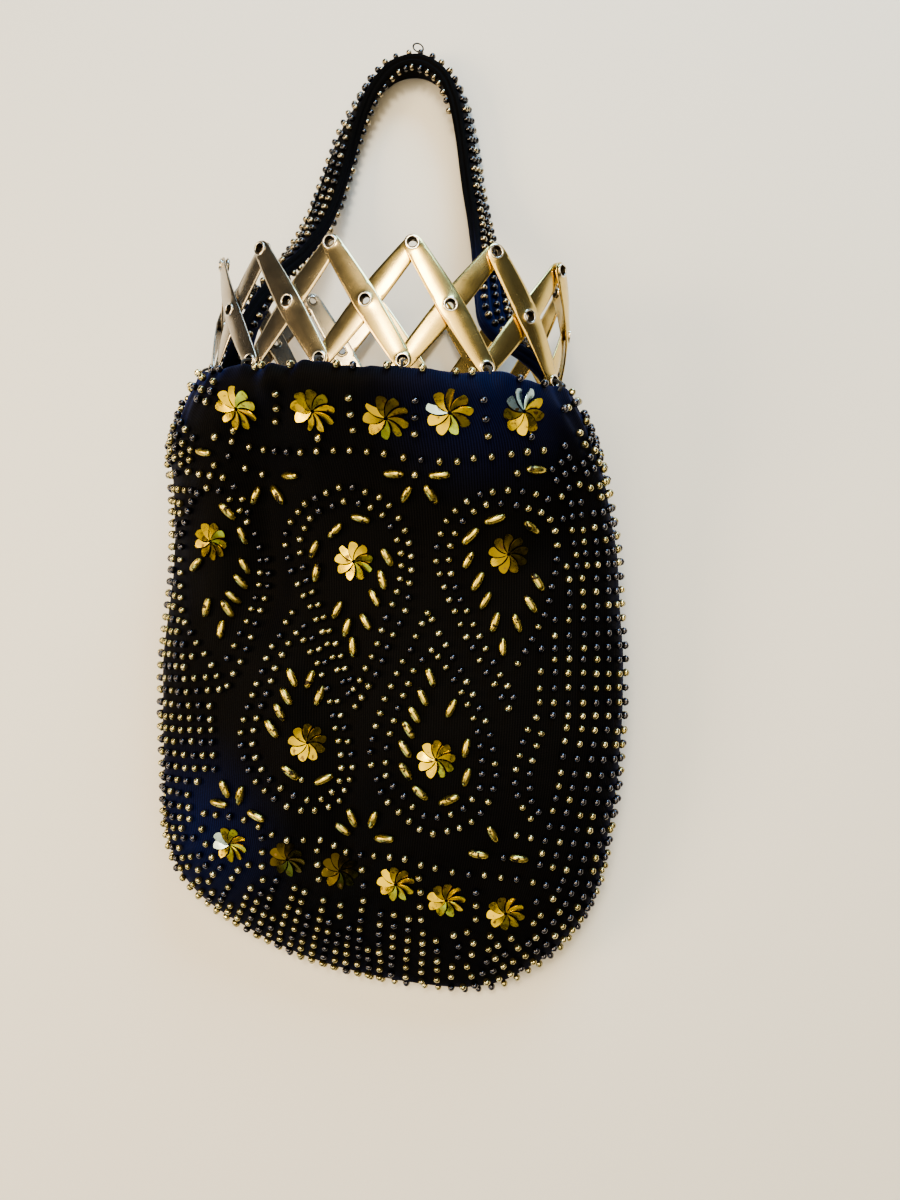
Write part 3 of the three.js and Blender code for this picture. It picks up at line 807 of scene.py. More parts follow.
# %% [markdown]
# ## The eyelets
# A hollow rivet with a rolled lip joins the slats at each pivot. The lip is a ring with a round
# section: a torus, turned so that its axis points out of the oval, one on the outer face and a
# smaller one where the barrel is clinched inside. One of each is modelled and copied to the 36 pivots.

# %% Helpers for rings and copies
def joined(pieces):
    """Joins pieces into one object whose mesh holds the place."""
    bpy.ops.object.select_all(action="DESELECT")
    for piece in pieces:
        piece.select_set(True)
    bpy.context.view_layer.objects.active = pieces[0]
    bpy.ops.object.transform_apply(location=True, rotation=True, scale=True)
    if len(pieces) > 1:
        bpy.ops.object.join()
    return bpy.context.object


def copy_to(piece, place, axis):
    twin = piece.copy()
    twin.data = piece.data.copy()
    bpy.context.scene.collection.objects.link(twin)
    twin.location = place
    twin.rotation_euler = axis.to_track_quat("Z", "Y").to_euler()
    return twin


def torus(radius, thick, round_steps, tube_steps):
    bpy.ops.object.select_all(action="DESELECT")
    bpy.ops.mesh.primitive_torus_add(major_radius=radius, minor_radius=thick,
                                     major_segments=round_steps, minor_segments=tube_steps)
    made = bpy.context.object
    bpy.ops.object.shade_smooth()
    return made


print("ring helpers ready")

# %% Rolled eyelet lips
LIP_RADIUS, LIP_THICK, LIP_FLAT = 1.85 * MM, 0.32 * MM, 0.8
CLINCH_RADIUS, CLINCH_THICK = 1.55 * MM, 0.34 * MM
LIP_OUT, CLINCH_OUT = 1.24, -1.2         # millimetres outwards from the oval

pivots = []
for column in range(UNITS):
    for share, rise in ((column, PIVOT_RISE), (column + 0.5, 0.0), (column, -PIVOT_RISE)):
        pivots.append((column_share(share), rise))

lip = torus(LIP_RADIUS, LIP_THICK, 24, 10)
edit_all(lip)
bpy.ops.transform.resize(value=(1.0, 1.0, LIP_FLAT))
bpy.ops.object.mode_set(mode="OBJECT")
clinch = torus(CLINCH_RADIUS, CLINCH_THICK, 20, 8)
lips = []
for share, rise in pivots:
    outside = on_ring(share, rise, LIP_OUT)
    inside = on_ring(share, rise, CLINCH_OUT)
    axis = (outside - inside).normalized()
    lips.append(copy_to(lip, outside, axis))
    lips.append(copy_to(clinch, inside, axis))
bpy.data.objects.remove(lip)
bpy.data.objects.remove(clinch)
eyelets = joined(lips)
eyelets.data.uv_layers.active.name = "brush"
settle(eyelets, "eyelet_lips", eyelet_metal)
print(len(pivots), "eyelets,", triangles(eyelets), "triangles")

# %% [markdown]
# Inside an eyelet the bore lies in shadow, and this is painted: the faces of each slat that lie within the
# bore take a second, dark material, a painted shade.

# %% Darken the bores with painted shade
BORE_RADIUS, BORE_DEEP = 1.6 * MM, 3.0 * MM

dark_faces = 0
for slat in slats:
    # the faces inside each bore take the painted shade
    slat.data.materials.append(painted_shade_bore)
    centres = np.array([face.center for face in slat.data.polygons])
    for share, rise in pivots:
        middle = np.array(on_ring(share, rise, 0))
        axis = np.array(on_ring(share, rise, 1)) - middle
        axis /= np.linalg.norm(axis)
        deep = (centres - middle) @ axis
        away = np.linalg.norm(centres - middle - deep[:, None] * axis, axis=1)
        for index in np.flatnonzero((away < BORE_RADIUS) & (abs(deep) < BORE_DEEP)):
            slat.data.polygons[int(index)].material_index = 1
            dark_faces += 1
print("dark faces in the bores:", dark_faces)

# %% [markdown]
# ## The threads that hang the cloth
# The rim is sewn to the twelve foot eyelets: black thread goes through each hole and over the edge of
# the cloth several times. Each turn is a thin ring, drawn out into an oval, that passes through the
# eyelet and the rim. Three turns are fanned a little at every eyelet.

# %% Sew the rim to the eyelets
THREAD = 0.34 * MM
PLAIN_RING = 1.0 * MM
LOOP_MIDDLE_OUT, LOOP_MIDDLE_RISE = 1.0, -1.75     # millimetres from the eyelet's middle
LOOP_HALF_OUT, LOOP_HALF_RISE = 2.6, 2.1           # times the plain ring's radius
LOOP_FAN = (-0.34, 0.0, 0.3)

loop = torus(PLAIN_RING, THREAD / 2, 20, 6)
loops = []
for column in range(UNITS):
    share = column_share(column)
    middle = on_ring(share, -PIVOT_RISE + LOOP_MIDDLE_RISE, LOOP_MIDDLE_OUT)
    outward = (on_ring(share, 0, 1) - on_ring(share, 0, 0)).normalized()
    rising = (on_ring(share, 1, 0) - on_ring(share, 0, 0)).normalized()
    sideways = outward.cross(rising)
    for fan in LOOP_FAN:
        leaning = (rising + sideways * fan).normalized()
        turned = outward.cross(leaning).normalized()
        stitch = copy_to(loop, middle, turned)
        stretch = Matrix((outward * LOOP_HALF_OUT, leaning * LOOP_HALF_RISE, turned)).transposed()
        stitch.matrix_world = Matrix.Translation(middle) @ stretch.to_4x4()
        loops.append(stitch)
bpy.data.objects.remove(loop)
bpy.context.view_layer.update()
threads = joined(loops)
edit_all(threads)
bpy.ops.mesh.normals_make_consistent(inside=False)
bpy.ops.object.mode_set(mode="OBJECT")
settle(threads, "rim_threads", black_thread)
print("threads:", triangles(threads), "triangles")

# %% [markdown]
# ## The strap
# The handle is a tube of the same silk, padded flat, with beads on its faces and a seam along the edge
# that lies uppermost at the top of the arch. Its section follows the solid's rings, drawn finer. The
# seam is one column of the tube that is drawn in between two folds that stand a little proud.

# %% Lay out the strap
STRAP_ALONG, STRAP_ROUND = 150, 24
SEAM_PLACE = 3.5            # on the upper edge, between two of the ring's eight corners
SEAM_HALF, FOLDS_HALF = 0.1, 0.4         # how far the seam and its folds reach to either side
SEAM_DEEP, SEAM_PROUD = 0.5 * MM, 0.25 * MM
PUCKER_DEEP, PUCKER_LONG = 0.11 * MM, 3.8 * MM

strap_rows = smooth_at(strap_rings, even_places(strap_rings, STRAP_ALONG, False), False)
strap_columns = strap_rows.transpose(1, 0, 2)
first_ring = strap_rings[0]
sides = np.linalg.norm(np.roll(first_ring, -1, axis=0) - first_ring, axis=1)
wide_sides = np.argsort(sides)[-2:]
outer_side = min(wide_sides, key=lambda k: first_ring[k][0] + first_ring[(k + 1) % STRAP_CORNERS][0])
strap_columns = np.roll(strap_columns, 1 - int(outer_side), axis=0)
section_places = np.arange(STRAP_ROUND) / STRAP_ROUND * STRAP_CORNERS + 0.5
strap_points = smooth_at(strap_columns, section_places, True)
strap_normals = strap_points - strap_points.mean(axis=0, keepdims=True)
strap_normals /= np.linalg.norm(strap_normals, axis=2, keepdims=True)
strap_run = run_of(strap_rows.mean(axis=1))

half_round = STRAP_CORNERS / 2
from_seam = abs((section_places - SEAM_PLACE + half_round) % STRAP_CORNERS - half_round)
folds = np.where(from_seam < FOLDS_HALF, SEAM_PROUD, 0.0)
seam_shape = np.where(from_seam < SEAM_HALF, -SEAM_DEEP, folds)
pucker = np.outer(np.cos(section_places * math.pi / 2), np.sin(strap_run / PUCKER_LONG * 2 * math.pi))
strap_points = strap_points + strap_normals * (seam_shape[:, None] + PUCKER_DEEP * pucker)[:, :, None]
print("strap length", round(strap_run[-1], 3), "m; outer side", int(outer_side))

STRAP_GIRTH = run_of(np.concatenate([strap_points[:, 0], strap_points[:1, 0]]))[-1]
strap = tube_of(strap_points, STRAP_GIRTH, strap_run[-1], capped=True)
apply(strap, "SUBSURF", levels=1, render_levels=1)
bpy.ops.object.shade_smooth()
settle(strap, "handle_strap_cloth", strap_cloth)
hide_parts("handle_strap")
print("strap", triangles(strap), "triangles")

# %% [markdown]
# A loose loop of thread stands up at the top of the strap, where a stitch has pulled out.

# %% Loose thread
LOOP_RADIUS, LOOP_THICK, LOOP_RISE = 1.7 * MM, 0.3 * MM, 2.0 * MM
LOOP_STRETCH = (0.85, 1.15, 1.0)

apex_top = Vector(min(strap_points.reshape(-1, 3), key=lambda point: pixel_of(point)[1]))
loose = torus(LOOP_RADIUS, LOOP_THICK, 24, 6)
loose.location = apex_top + UP * LOOP_RISE
loose.rotation_euler = (-LOOK).to_track_quat("Z", "Y").to_euler()
loose.scale = LOOP_STRETCH
loose = joined([loose])
settle(loose, "loose_thread", black_thread)
print("loose thread", [round(x / MM, 1) for x in loose.bound_box[0]], "to",
      [round(x / MM, 1) for x in loose.bound_box[6]])

# %% [markdown]
# ## The pinwheel spangles
# A spangle is stamped from thin sheet: nine petals like commas, with thin slits between them that end
# near the middle. One petal is a small grid, bent to the petal's outline: it widens from the eye along
# a line that bows to one side, and ends in a round tip. One of its sides is raised, as the blade of a
# fan is. The sheet's thickness is added to this one petal, and a spangle is nine copies of it, each
# tilted a little its own way, as the press and wear leave them.

# %% The petal's outline
PETALS = 9
SPANGLE_RADIUS, SPANGLE_EYE = 6.5 * MM, 0.6 * MM
SLIT, SLIT_FULL = 0.42 * MM, 1.6 * MM      # its width, and the radius where it has that width
BOW, BOW_POWER = -0.5, 1.4         # radians that a petal's tip is turned from its root, and how late
TWIST = 0.45 * MM
DISH = 0.5 * MM
TIP_FROM = 0.6             # share of the petal's rows before the round tip


def petal_line(radius):
    """The petal's middle line: its place at a radius, the way it runs there, and the way across it."""
    bend = BOW * (radius / SPANGLE_RADIUS) ** BOW_POWER
    lean = bend + math.atan(BOW_POWER * bend)
    place = Vector((radius * math.cos(bend), radius * math.sin(bend), 0.0))
    ahead = Vector((math.cos(lean), math.sin(lean), 0.0))
    return place, ahead, Vector((-ahead.y, ahead.x, 0.0))


def half_width(radius):
    """Half of the petal, so that a slit is left between it and the next."""
    skew = math.atan(BOW_POWER * BOW * (radius / SPANGLE_RADIUS) ** BOW_POWER)
    share = radius * math.sin(math.pi / PETALS) * math.cos(skew)
    return share - SLIT / 2 * min(1.0, radius / SLIT_FULL)


TIP_CENTRE, TIP_REACH = 0.84 * SPANGLE_RADIUS, 0.15 * SPANGLE_RADIUS
TIP_HALF = half_width(TIP_CENTRE)


def petal_point(across, along):
    """A point of the petal: across from -1 to 1, along from 0 at the eye to 1 at the tip."""
    radius = SPANGLE_EYE + (TIP_CENTRE - SPANGLE_EYE) * min(1.0, along / TIP_FROM)
    place, ahead, side = petal_line(radius)
    half = half_width(radius)
    if along > TIP_FROM:
        turn = (along - TIP_FROM) / (1 - TIP_FROM) * math.pi / 2
        place = place + ahead * TIP_REACH * math.sin(turn)
        half = TIP_HALF * math.cos(turn)
    point = place + side * across * half
    out = place.length / SPANGLE_RADIUS
    point.z = DISH * (1 - out ** 2) + TWIST * across * half / TIP_HALF
    return point


print("a petal is", round(2 * TIP_HALF / MM, 2), "mm wide before its tip")

# %% Model one petal
PETAL_ACROSS, PETAL_ALONG = 6, 14
TIP_MERGE = 0.02 * MM      # the corners of the last row meet in one
SHEET = 0.3 * MM
PETAL_SMOOTH = math.radians(50)

bpy.ops.object.select_all(action="DESELECT")
bpy.ops.mesh.primitive_grid_add(x_subdivisions=PETAL_ACROSS, y_subdivisions=PETAL_ALONG, size=2.0)
petal = bpy.context.object
for corner in petal.data.vertices:
    corner.co = petal_point(corner.co.x, (corner.co.y + 1) / 2)
edit_all(petal)
bpy.ops.mesh.remove_doubles(threshold=TIP_MERGE)
bpy.ops.mesh.normals_make_consistent(inside=False)
bpy.ops.object.mode_set(mode="OBJECT")
upwards = sum(face.normal.z * face.area for face in petal.data.polygons)
if upwards < 0:
    petal.data.flip_normals()
apply(petal, "SOLIDIFY", thickness=SHEET, offset=-1.0)
bpy.ops.object.shade_smooth_by_angle(angle=PETAL_SMOOTH)
print("petal", triangles(petal), "triangles")

# %% [markdown]
# The nine petals go to each solid's place, turned to lie on the cloth, and set so that they touch it.
# A tint that a petal carries makes some spangles darker. On most of them the gilt has dulled; on
# flower_bottom_2 and flower_bottom_3 the darkening is painted shade, where a fold shades them. On three of
# them one side has a pale blue tint, a painted reflection of the window.

# %% How the spangles differ
SPANGLE_SIZES = {"top": 1.05, "upper": 0.95, "lower": 0.94, "bottom": 0.95}
# darker spangles: dull gilt, and painted shade on flower_bottom_2 and flower_bottom_3
DULL_GILT_AND_PAINTED_SHADE = {
    "flower_top_3": 0.5, "flower_upper_1": 0.55, "flower_upper_3": 0.32,
    "flower_lower_1": 0.8, "flower_bottom_2": 0.14, "flower_bottom_3": 0.09,
}
GILT_TINT = (1.0, 0.98, 0.95)
# sides of spangles that take a painted reflection of the window
PAINTED_REFLECTION_SIDES = {
    # degrees round from the right, and how far the painted reflection reaches to either side of that
    "flower_top_4": (165, 25), "flower_top_5": (60, 45), "flower_bottom_1": (200, 45),
}
# painted reflection of the window: a pale blue tint on one side of these spangles
PAINTED_WINDOW_REFLECTION = (0.68, 1.2, 12.5)          # as a tint of the gilt


def set_tint(piece, colours):
    """Stores a colour on every corner of a piece, for its material to read."""
    layer = piece.data.attributes.new("tint", "FLOAT_COLOR", "POINT")
    layer.data.foreach_set("color", np.asarray(colours, dtype=np.float32).ravel())


def petal_tint(name, heading):
    """The tint of the petal that points so many degrees round from the right. On some sides it is a
    painted reflection of the window; elsewhere it is dull gilt, with painted shade on two spangles.
    """
    reflection_at, reflection_reach = PAINTED_REFLECTION_SIDES.get(name, (0, 0))
    from_reflection = abs((heading - reflection_at + 180) % 360 - 180)
    if from_reflection < reflection_reach:
        return PAINTED_WINDOW_REFLECTION
    return tuple(DULL_GILT_AND_PAINTED_SHADE.get(name, 1.0) * part for part in GILT_TINT)


print("dull spangles:", len(DULL_GILT_AND_PAINTED_SHADE), "spangles with white metal:", len(PAINTED_REFLECTION_SIDES))

# %% Where a spangle lies
SPANGLE_SEAT = 0.55 * MM
SEAT_FROM, SEAT_REACH = 8 * MM, 5 * MM   # the cloth is felt for from this height, and this far round


def tree_of(piece):
    """A piece's faces, sorted so that the nearest one, or the one that a ray meets, is found fast."""
    return BVHTree.FromPolygons([v.co for v in piece.data.vertices],
                                [face.vertices for face in piece.data.polygons])


def node_facing(name):
    """The upward direction of a thin flat solid."""
    points = np.array([v.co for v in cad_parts[name].data.vertices])
    facing = Vector(np.linalg.svd(points - points.mean(axis=0), full_matrices=False)[2][2])
    return facing if facing.z > 0 else -facing


def seat_of(middle, facing):
    """Where a spangle touches the cloth, under its middle or under its edge."""
    above = middle + facing * SEAT_FROM
    far = cloth_tree.ray_cast(above, -facing)[3]
    side = facing.orthogonal()
    ways = (side, -side, facing.cross(side), side.cross(facing))
    edges = [above + way.normalized() * SEAT_REACH for way in ways]
    reach = [cloth_tree.ray_cast(edge, -facing)[3] or far for edge in edges]
    return middle + facing * (SEAT_FROM - min(far, np.mean(reach)) + SPANGLE_SEAT)


cloth_tree = tree_of(pouch)
print("spangles to sew on:", len(spangle_nodes))

# %% Sew the spangles on
PETAL_TILT, PETAL_LIFT = 0.15, 0.08      # radians, about the petal's length and across it

draw = random.Random(7)
spangle_places = []
for name in sorted(spangle_nodes):
    facing = node_facing(name)
    seat = seat_of(Vector(spangle_centres[name]), facing)
    laid = Matrix.Translation(seat) @ facing.to_track_quat("Z", "Y").to_matrix().to_4x4()
    size = Matrix.Scale(SPANGLE_SIZES[name.split("_")[1]], 4)
    spin = draw.uniform(0, 2 * math.pi)
    petals = []
    for number in range(PETALS):
        blade = copy_to(petal, seat, facing)
        tilt = Matrix.Rotation(draw.uniform(-PETAL_TILT, PETAL_TILT), 4, "X")
        raised = Matrix.Rotation(draw.uniform(-PETAL_LIFT, PETAL_LIFT), 4, "Y")
        turned = Matrix.Rotation(spin + 2 * math.pi * number / PETALS, 4, "Z")
        blade.matrix_world = laid @ size @ turned @ raised @ tilt
        heading = math.degrees(spin + BOW / 2) + 360 * number / PETALS
        set_tint(blade, [(*petal_tint(name, heading), 1.0)] * len(blade.data.vertices))
        petals.append(blade)
    bpy.context.view_layer.update()
    flower = joined(petals)
    settle(flower, "spangle_" + name[len("flower_"):], spangle_gilt)
    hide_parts(name)
    spangle_places.append(np.array(seat))
bpy.data.objects.remove(petal)
print(len(spangle_places), "spangles sewn on")

# %% [markdown]
# ## Bead shapes
# There are two beads: a round seed bead and a long one like a grain of rice. Both are small spheres
# whose poles are pressed in where the thread goes through, and the long one is drawn out along its
# hole and made blunter at its ends. They are repeated by the thousand, so each has only a few dozen
# faces.

# %% Model the two beads
POLE = 0.998                # a corner past this share of the half length is a pole


def bead_shape(segments, rings, radius, length, dimple, blunt):
    """Corners and faces of a bead whose hole runs along its own X axis. Blunt 2 is an ellipsoid."""
    bpy.ops.object.select_all(action="DESELECT")
    bpy.ops.mesh.primitive_uv_sphere_add(segments=segments, ring_count=rings, radius=1.0)
    bead = bpy.context.object
    edit_all(bead)
    bpy.ops.transform.resize(value=(radius, radius, length / 2), center_override=(0, 0, 0))
    bpy.ops.object.mode_set(mode="OBJECT")
    for corner in bead.data.vertices:
        reach = min(1.0, abs(corner.co.z) / (length / 2))
        if reach > POLE:
            corner.co.z *= 1 - dimple
        else:
            fuller = math.sqrt((1 - reach ** blunt) / (1 - reach ** 2))
            corner.co.x *= fuller
            corner.co.y *= fuller
    corners = np.array([(v.co.z, v.co.x, v.co.y) for v in bead.data.vertices])
    faces = [tuple(face.vertices) for face in bead.data.polygons]
    bpy.data.objects.remove(bead)
    return corners, faces


BEAD_RADIUS, LONG_RADIUS = 1.3 * MM, 1.36 * MM
ROUND_BEAD = bead_shape(8, 6, BEAD_RADIUS, length=2.3 * MM, dimple=0.45, blunt=2.0)
LONG_BEAD = bead_shape(10, 8, LONG_RADIUS, length=7.0 * MM, dimple=0.12, blunt=2.4)
print("round bead faces:", len(ROUND_BEAD[1]), "long bead faces:", len(LONG_BEAD[1]))

# %% [markdown]
# ## Where the beads go
# The front is sewn with teardrops outlined by two rows of round beads, with long beads inside them.
# The rows are given by a few points of the photograph each. A smooth line is drawn through them,
# looked along from the camera on to the cloth, and beads are threaded on it at an even spacing, so
# they lie on the cloth whatever its folds.

# %% Threading helpers
SEWN = []                   # every round bead: place, normal, thread direction
BEAD_SINK = 0.25 * MM
BEAD_RISE = BEAD_RADIUS - BEAD_SINK
BEADS_APART = 2.4 * MM      # nearer than this to one of the last beads, a new one is left out
LAST_BEADS = 300
FAR_AWAY = 1.0


def on_cloth(px, py):
    """The cloth that a pixel of the photograph shows, and which way it faces."""
    hit, facing, _, _ = cloth_tree.ray_cast(EYE, sight(px, py))
    return hit, facing


def sew(place, facing, along):
    SEWN.append((np.array(place), np.array(facing), np.array(along)))


def spacing_to(places, point):
    if not len(places):
        return FAR_AWAY
    return float(np.min(np.linalg.norm(np.asarray(places) - np.array(point), axis=1)))


def thread_line(pixels, pitch, fine=24):
    """Threads round beads at a pitch along a smooth line through some pixels."""
    points = np.array(pixels, dtype=float)
    last = len(points) - 1
    line = smooth_at(points, np.linspace(0, last, last * fine + 1), False)
    seen = [on_cloth(*pixel) for pixel in line]
    trail = [(hit, facing) for hit, facing in seen if hit is not None]
    travelled, wanted = 0.0, 0.0
    for (here, facing), (ahead, _) in zip(trail, trail[1:]):
        travelled += (ahead - here).length
        if travelled >= wanted:
            if spacing_to([bead[0] for bead in SEWN[-LAST_BEADS:]], here) > BEADS_APART:
                sew(here, facing, (ahead - here).normalized())
            wanted = travelled + pitch


print("threading ready")

# %% Teardrops in two rows of beads
ROW_PITCH = 4.2 * MM
TEARDROPS = {
    "left": {
        "inner": [(219, 675), (212, 662), (199, 642), (187, 619), (184, 586), (185, 541), (192, 508),
                  (205, 489), (222, 491), (240, 510), (257, 538), (261, 564), (259, 588), (249, 618),
                  (232, 652), (220, 674)],
        "outer": [(202, 474), (230, 480), (250, 515), (264, 541), (270, 570), (268, 592), (256, 626),
                  (245, 656), (228, 687)],
    },
    "middle": {
        "inner": [(356, 688), (366, 672), (378, 644), (387, 619), (397, 596), (402, 572), (402, 550),
                  (391, 526), (376, 508), (350, 500), (337, 503), (317, 512), (304, 532), (302, 548),
                  (306, 571), (315, 595), (326, 619), (337, 645), (347, 668), (355, 686)],
        "outer": [(358, 706), (372, 683), (385, 656), (394, 634), (405, 612), (411, 578), (412, 555),
                  (407, 532), (395, 511), (382, 497), (354, 486), (339, 487), (308, 502), (292, 524),
                  (288, 545), (295, 574), (306, 596), (318, 620), (328, 645), (339, 670), (357, 705)],
    },
    "right": {
        "inner": [(513, 697), (505, 682), (489, 655), (475, 627), (462, 602), (453, 577), (449, 552),
                  (459, 526), (480, 506), (508, 503), (526, 507), (547, 517), (555, 545), (552, 580),
                  (545, 610), (535, 632), (527, 647), (519, 659), (512, 673)],
        "outer": [(508, 708), (493, 682), (479, 659), (466, 635), (454, 609), (440, 575), (437, 562),
                  (440, 535), (454, 511), (479, 493), (511, 489), (530, 492), (546, 498)],
    },
    "lower left": {
        "inner": [(297, 633), (281, 660), (273, 681), (265, 703), (255, 732), (258, 757), (273, 779),
                  (296, 795), (319, 798), (336, 786), (342, 768), (339, 740), (332, 710), (327, 688),
                  (320, 668), (307, 645), (299, 634)],
        "outer": [(294, 612), (283, 633), (272, 650), (264, 672), (254, 696), (243, 730), (246, 757),
                  (258, 780), (278, 799), (302, 809), (325, 807), (341, 797), (352, 774), (355, 760),
                  (347, 733), (339, 705), (332, 680), (325, 660), (317, 646), (304, 624), (295, 613)],
    },
    "lower middle": {
        "inner": [(432, 650), (422, 659), (412, 675), (403, 696), (392, 728), (387, 757), (388, 776),
                  (405, 796), (424, 814), (438, 816), (460, 809), (480, 787), (482, 760), (477, 730),
                  (468, 704), (456, 683), (443, 662), (433, 651)],
        "outer": [(428, 612), (413, 644), (401, 666), (386, 698), (376, 730), (372, 756), (377, 775),
                  (385, 795), (404, 814), (424, 829), (438, 832), (464, 824), (484, 808), (494, 785),
                  (495, 769), (489, 729), (477, 702), (463, 675), (444, 643), (429, 614)],
    },
    "lower right": {
        "inner": [(540, 733), (531, 763), (529, 785), (533, 805), (546, 817)],
        "outer": [(535, 717), (523, 738), (516, 768), (515, 785), (523, 808), (532, 819)],
    },
}

for rows_of_beads in TEARDROPS.values():
    for pixels in rows_of_beads.values():
        thread_line(pixels, ROW_PITCH)
print("beads in the teardrops:", len(SEWN))

# %% [markdown]
# Single rows run under the top spangles and above the bottom ones, and short columns of three or four
# beads stand between neighbouring spangles. A few columns at the middle of the foot are threaded the
# same way, where the rows from the left and from the right would leave a gap.

# %% Rows and columns between the spangles
SINGLE_ROWS = {
    "under the top spangles": [(217, 436), (248, 445), (278, 450), (320, 450), (358, 449), (400, 455),
                               (446, 460), (470, 458), (508, 453), (545, 449)],
    "above the bottom spangles": [(206, 812), (240, 817), (262, 826), (288, 838), (320, 838), (348, 851),
                                  (378, 854), (405, 857), (430, 865), (462, 871), (492, 874), (525, 879),
                                  (546, 884)],
}
SPANGLE_COLUMNS = [
    [(277, 392), (279, 432)], [(349, 396), (355, 434)], [(416, 399), (415, 440)], [(483, 400), (488, 438)],
    [(264, 836), (264, 878)], [(318, 848), (320, 884)], [(364, 868), (365, 900)], [(420, 876), (422, 924)],
    [(476, 890), (476, 926)],
]
FOOT_COLUMNS = [
    [(395, 912), (391, 985)], [(409, 916), (406, 987)], [(423, 930), (422, 988)], [(437, 938), (438, 990)],
]
LONE_BEADS = [
    (246, 467), (264, 473), (415, 474), (235, 429), (529, 437), (320, 436), (302, 779), (503, 856),
    (205, 380), (217, 383), (197, 388), (205, 390), (214, 391), (201, 400), (209, 402),
]
SINGLE_PITCH, COLUMN_PITCH, FOOT_PITCH = 5.0 * MM, 5.2 * MM, 4.4 * MM

for pixels in SINGLE_ROWS.values():
    thread_line(pixels, SINGLE_PITCH)
for pixels in SPANGLE_COLUMNS:
    thread_line(pixels, COLUMN_PITCH, fine=80)
for pixels in FOOT_COLUMNS:
    thread_line(pixels, FOOT_PITCH, fine=160)
for pixel in LONE_BEADS:
    hit, facing = on_cloth(*pixel)
    sew(hit, facing, RIGHT)
print("with the single rows:", len(SEWN))

# %% [markdown]
# The long beads lie inside the teardrops, along their outline, and in small fans between them. Each
# is given by its middle in the photograph and its lean: 0 lies level, 90 stands upright, and more
# than 90 leans to the left.

# %% Long beads
LONG_BEADS = {
    "top fans": [(206, 451, 170), (292, 475, 0), (395, 473, 178), (440, 474, 2), (535, 469, 176),
                 (256, 494, 68), (280, 494, 122), (407, 493, 62), (431, 493, 123)],
    "left": [(228, 511, 135), (243, 534, 115), (245, 565, 120), (241, 581, 135), (234, 597, 142),
             (227, 609, 125), (209, 607, 78), (222, 629, 80), (199, 564, 50)],
    "middle": [(362, 518, 165), (336, 529, 48), (316, 549, 68), (318, 572, 80), (388, 557, 120),
               (383, 580, 105), (376, 598, 118), (367, 621, 120), (348, 627, 75), (338, 609, 65),
               (355, 646, 95)],
    "right": [(495, 519, 18), (530, 527, 140), (471, 535, 45), (468, 560, 62), (477, 581, 60),
              (486, 600, 60), (495, 622, 72), (517, 623, 110), (531, 604, 122), (537, 582, 122),
              (503, 648, 90)],
    "lower left": [(292, 678, 112), (310, 679, 68), (319, 695, 70), (287, 696, 120), (281, 711, 118),
                   (273, 728, 122), (291, 772, 140), (323, 778, 25)],
    "lower middle": [(431, 677, 110), (451, 708, 65), (423, 697, 115), (415, 714, 122), (409, 730, 122),
                     (405, 748, 122), (406, 770, 125), (421, 792, 138), (449, 798, 22), (467, 747, 78),
                     (467, 776, 72)],
    "bottom fans": [(227, 788, 115), (242, 794, 78), (221, 802, 165), (258, 815, 150), (354, 816, 115),
                    (374, 818, 70), (344, 828, 145), (386, 837, 175), (492, 832, 120), (479, 852, 170),
                    (519, 857, 172)],
}
LONG_RISE = LONG_RADIUS - BEAD_SINK
LONG_FEEL = 5              # pixels to either side of the middle, to find how the bead lies
LONG_SEWN = []

for beads in LONG_BEADS.values():
    for px, py, lean in beads:
        angle = math.radians(lean)
        shift_x, shift_y = LONG_FEEL * math.cos(angle), -LONG_FEEL * math.sin(angle)
        hit, facing = on_cloth(px, py)
        ahead, _ = on_cloth(px + shift_x, py + shift_y)
        behind, _ = on_cloth(px - shift_x, py - shift_y)
        LONG_SEWN.append((np.array(hit), np.array(facing), np.array((ahead - behind).normalized())))
print("long beads:", len(LONG_SEWN))

# %% [markdown]
# ## The border and the back
# Outside the teardrops the cloth is sewn with an even grid: rows of beads that start at the side and
# foot of the pouch and run inwards. A needle is walked over the cloth from each point of that edge,
# one bead's pitch at a time, and each step is put back on the cloth. It stops where it would come too
# close to what is already sewn, or enter a teardrop. The same walk, the other way, covers the back.

# %% Where the grid may go
CLEAR_BEAD, CLEAR_LONG, CLEAR_SPANGLE = 3.4 * MM, 4.4 * MM, 8.3 * MM
TOP_BAND = [(216, 360), (216, 440), (250, 470), (470, 480), (556, 462), (556, 380)]
MIDDLE_BAND = [(270, 480), (560, 480), (545, 640), (500, 700), (560, 720), (545, 830), (222, 795),
               (222, 700), (250, 640)]
FOOT_BAND = [(200, 775), (200, 822), (262, 860), (352, 886), (430, 922), (526, 938), (532, 880),
             (430, 840)]
CLOSED_ROWS = {"left": "inner", "middle": "outer", "right": "outer", "lower left": "outer",
               "lower middle": "outer"}
KEEP_OUT = [TOP_BAND, MIDDLE_BAND, FOOT_BAND]
KEEP_OUT += [TEARDROPS[name][row] for name, row in CLOSED_ROWS.items()]


def inside(pixel, outline):
    """Whether a pixel lies inside a closed outline."""
    px, py = pixel
    odd = False
    for (x1, y1), (x2, y2) in zip(outline, outline[1:] + outline[:1]):
        if (y1 > py) != (y2 > py) and px < x1 + (py - y1) / (y2 - y1) * (x2 - x1):
            odd = not odd
    return odd


def free(point):
    """Whether a bead can be sewn at a point without crowding what is there."""
    return (spacing_to([bead[0] for bead in SEWN], point) > CLEAR_BEAD
            and spacing_to([bead[0] for bead in LONG_SEWN], point) > CLEAR_LONG
            and spacing_to(spangle_places, point) > CLEAR_SPANGLE)


print("outlines that the grid keeps out of:", len(KEEP_OUT))

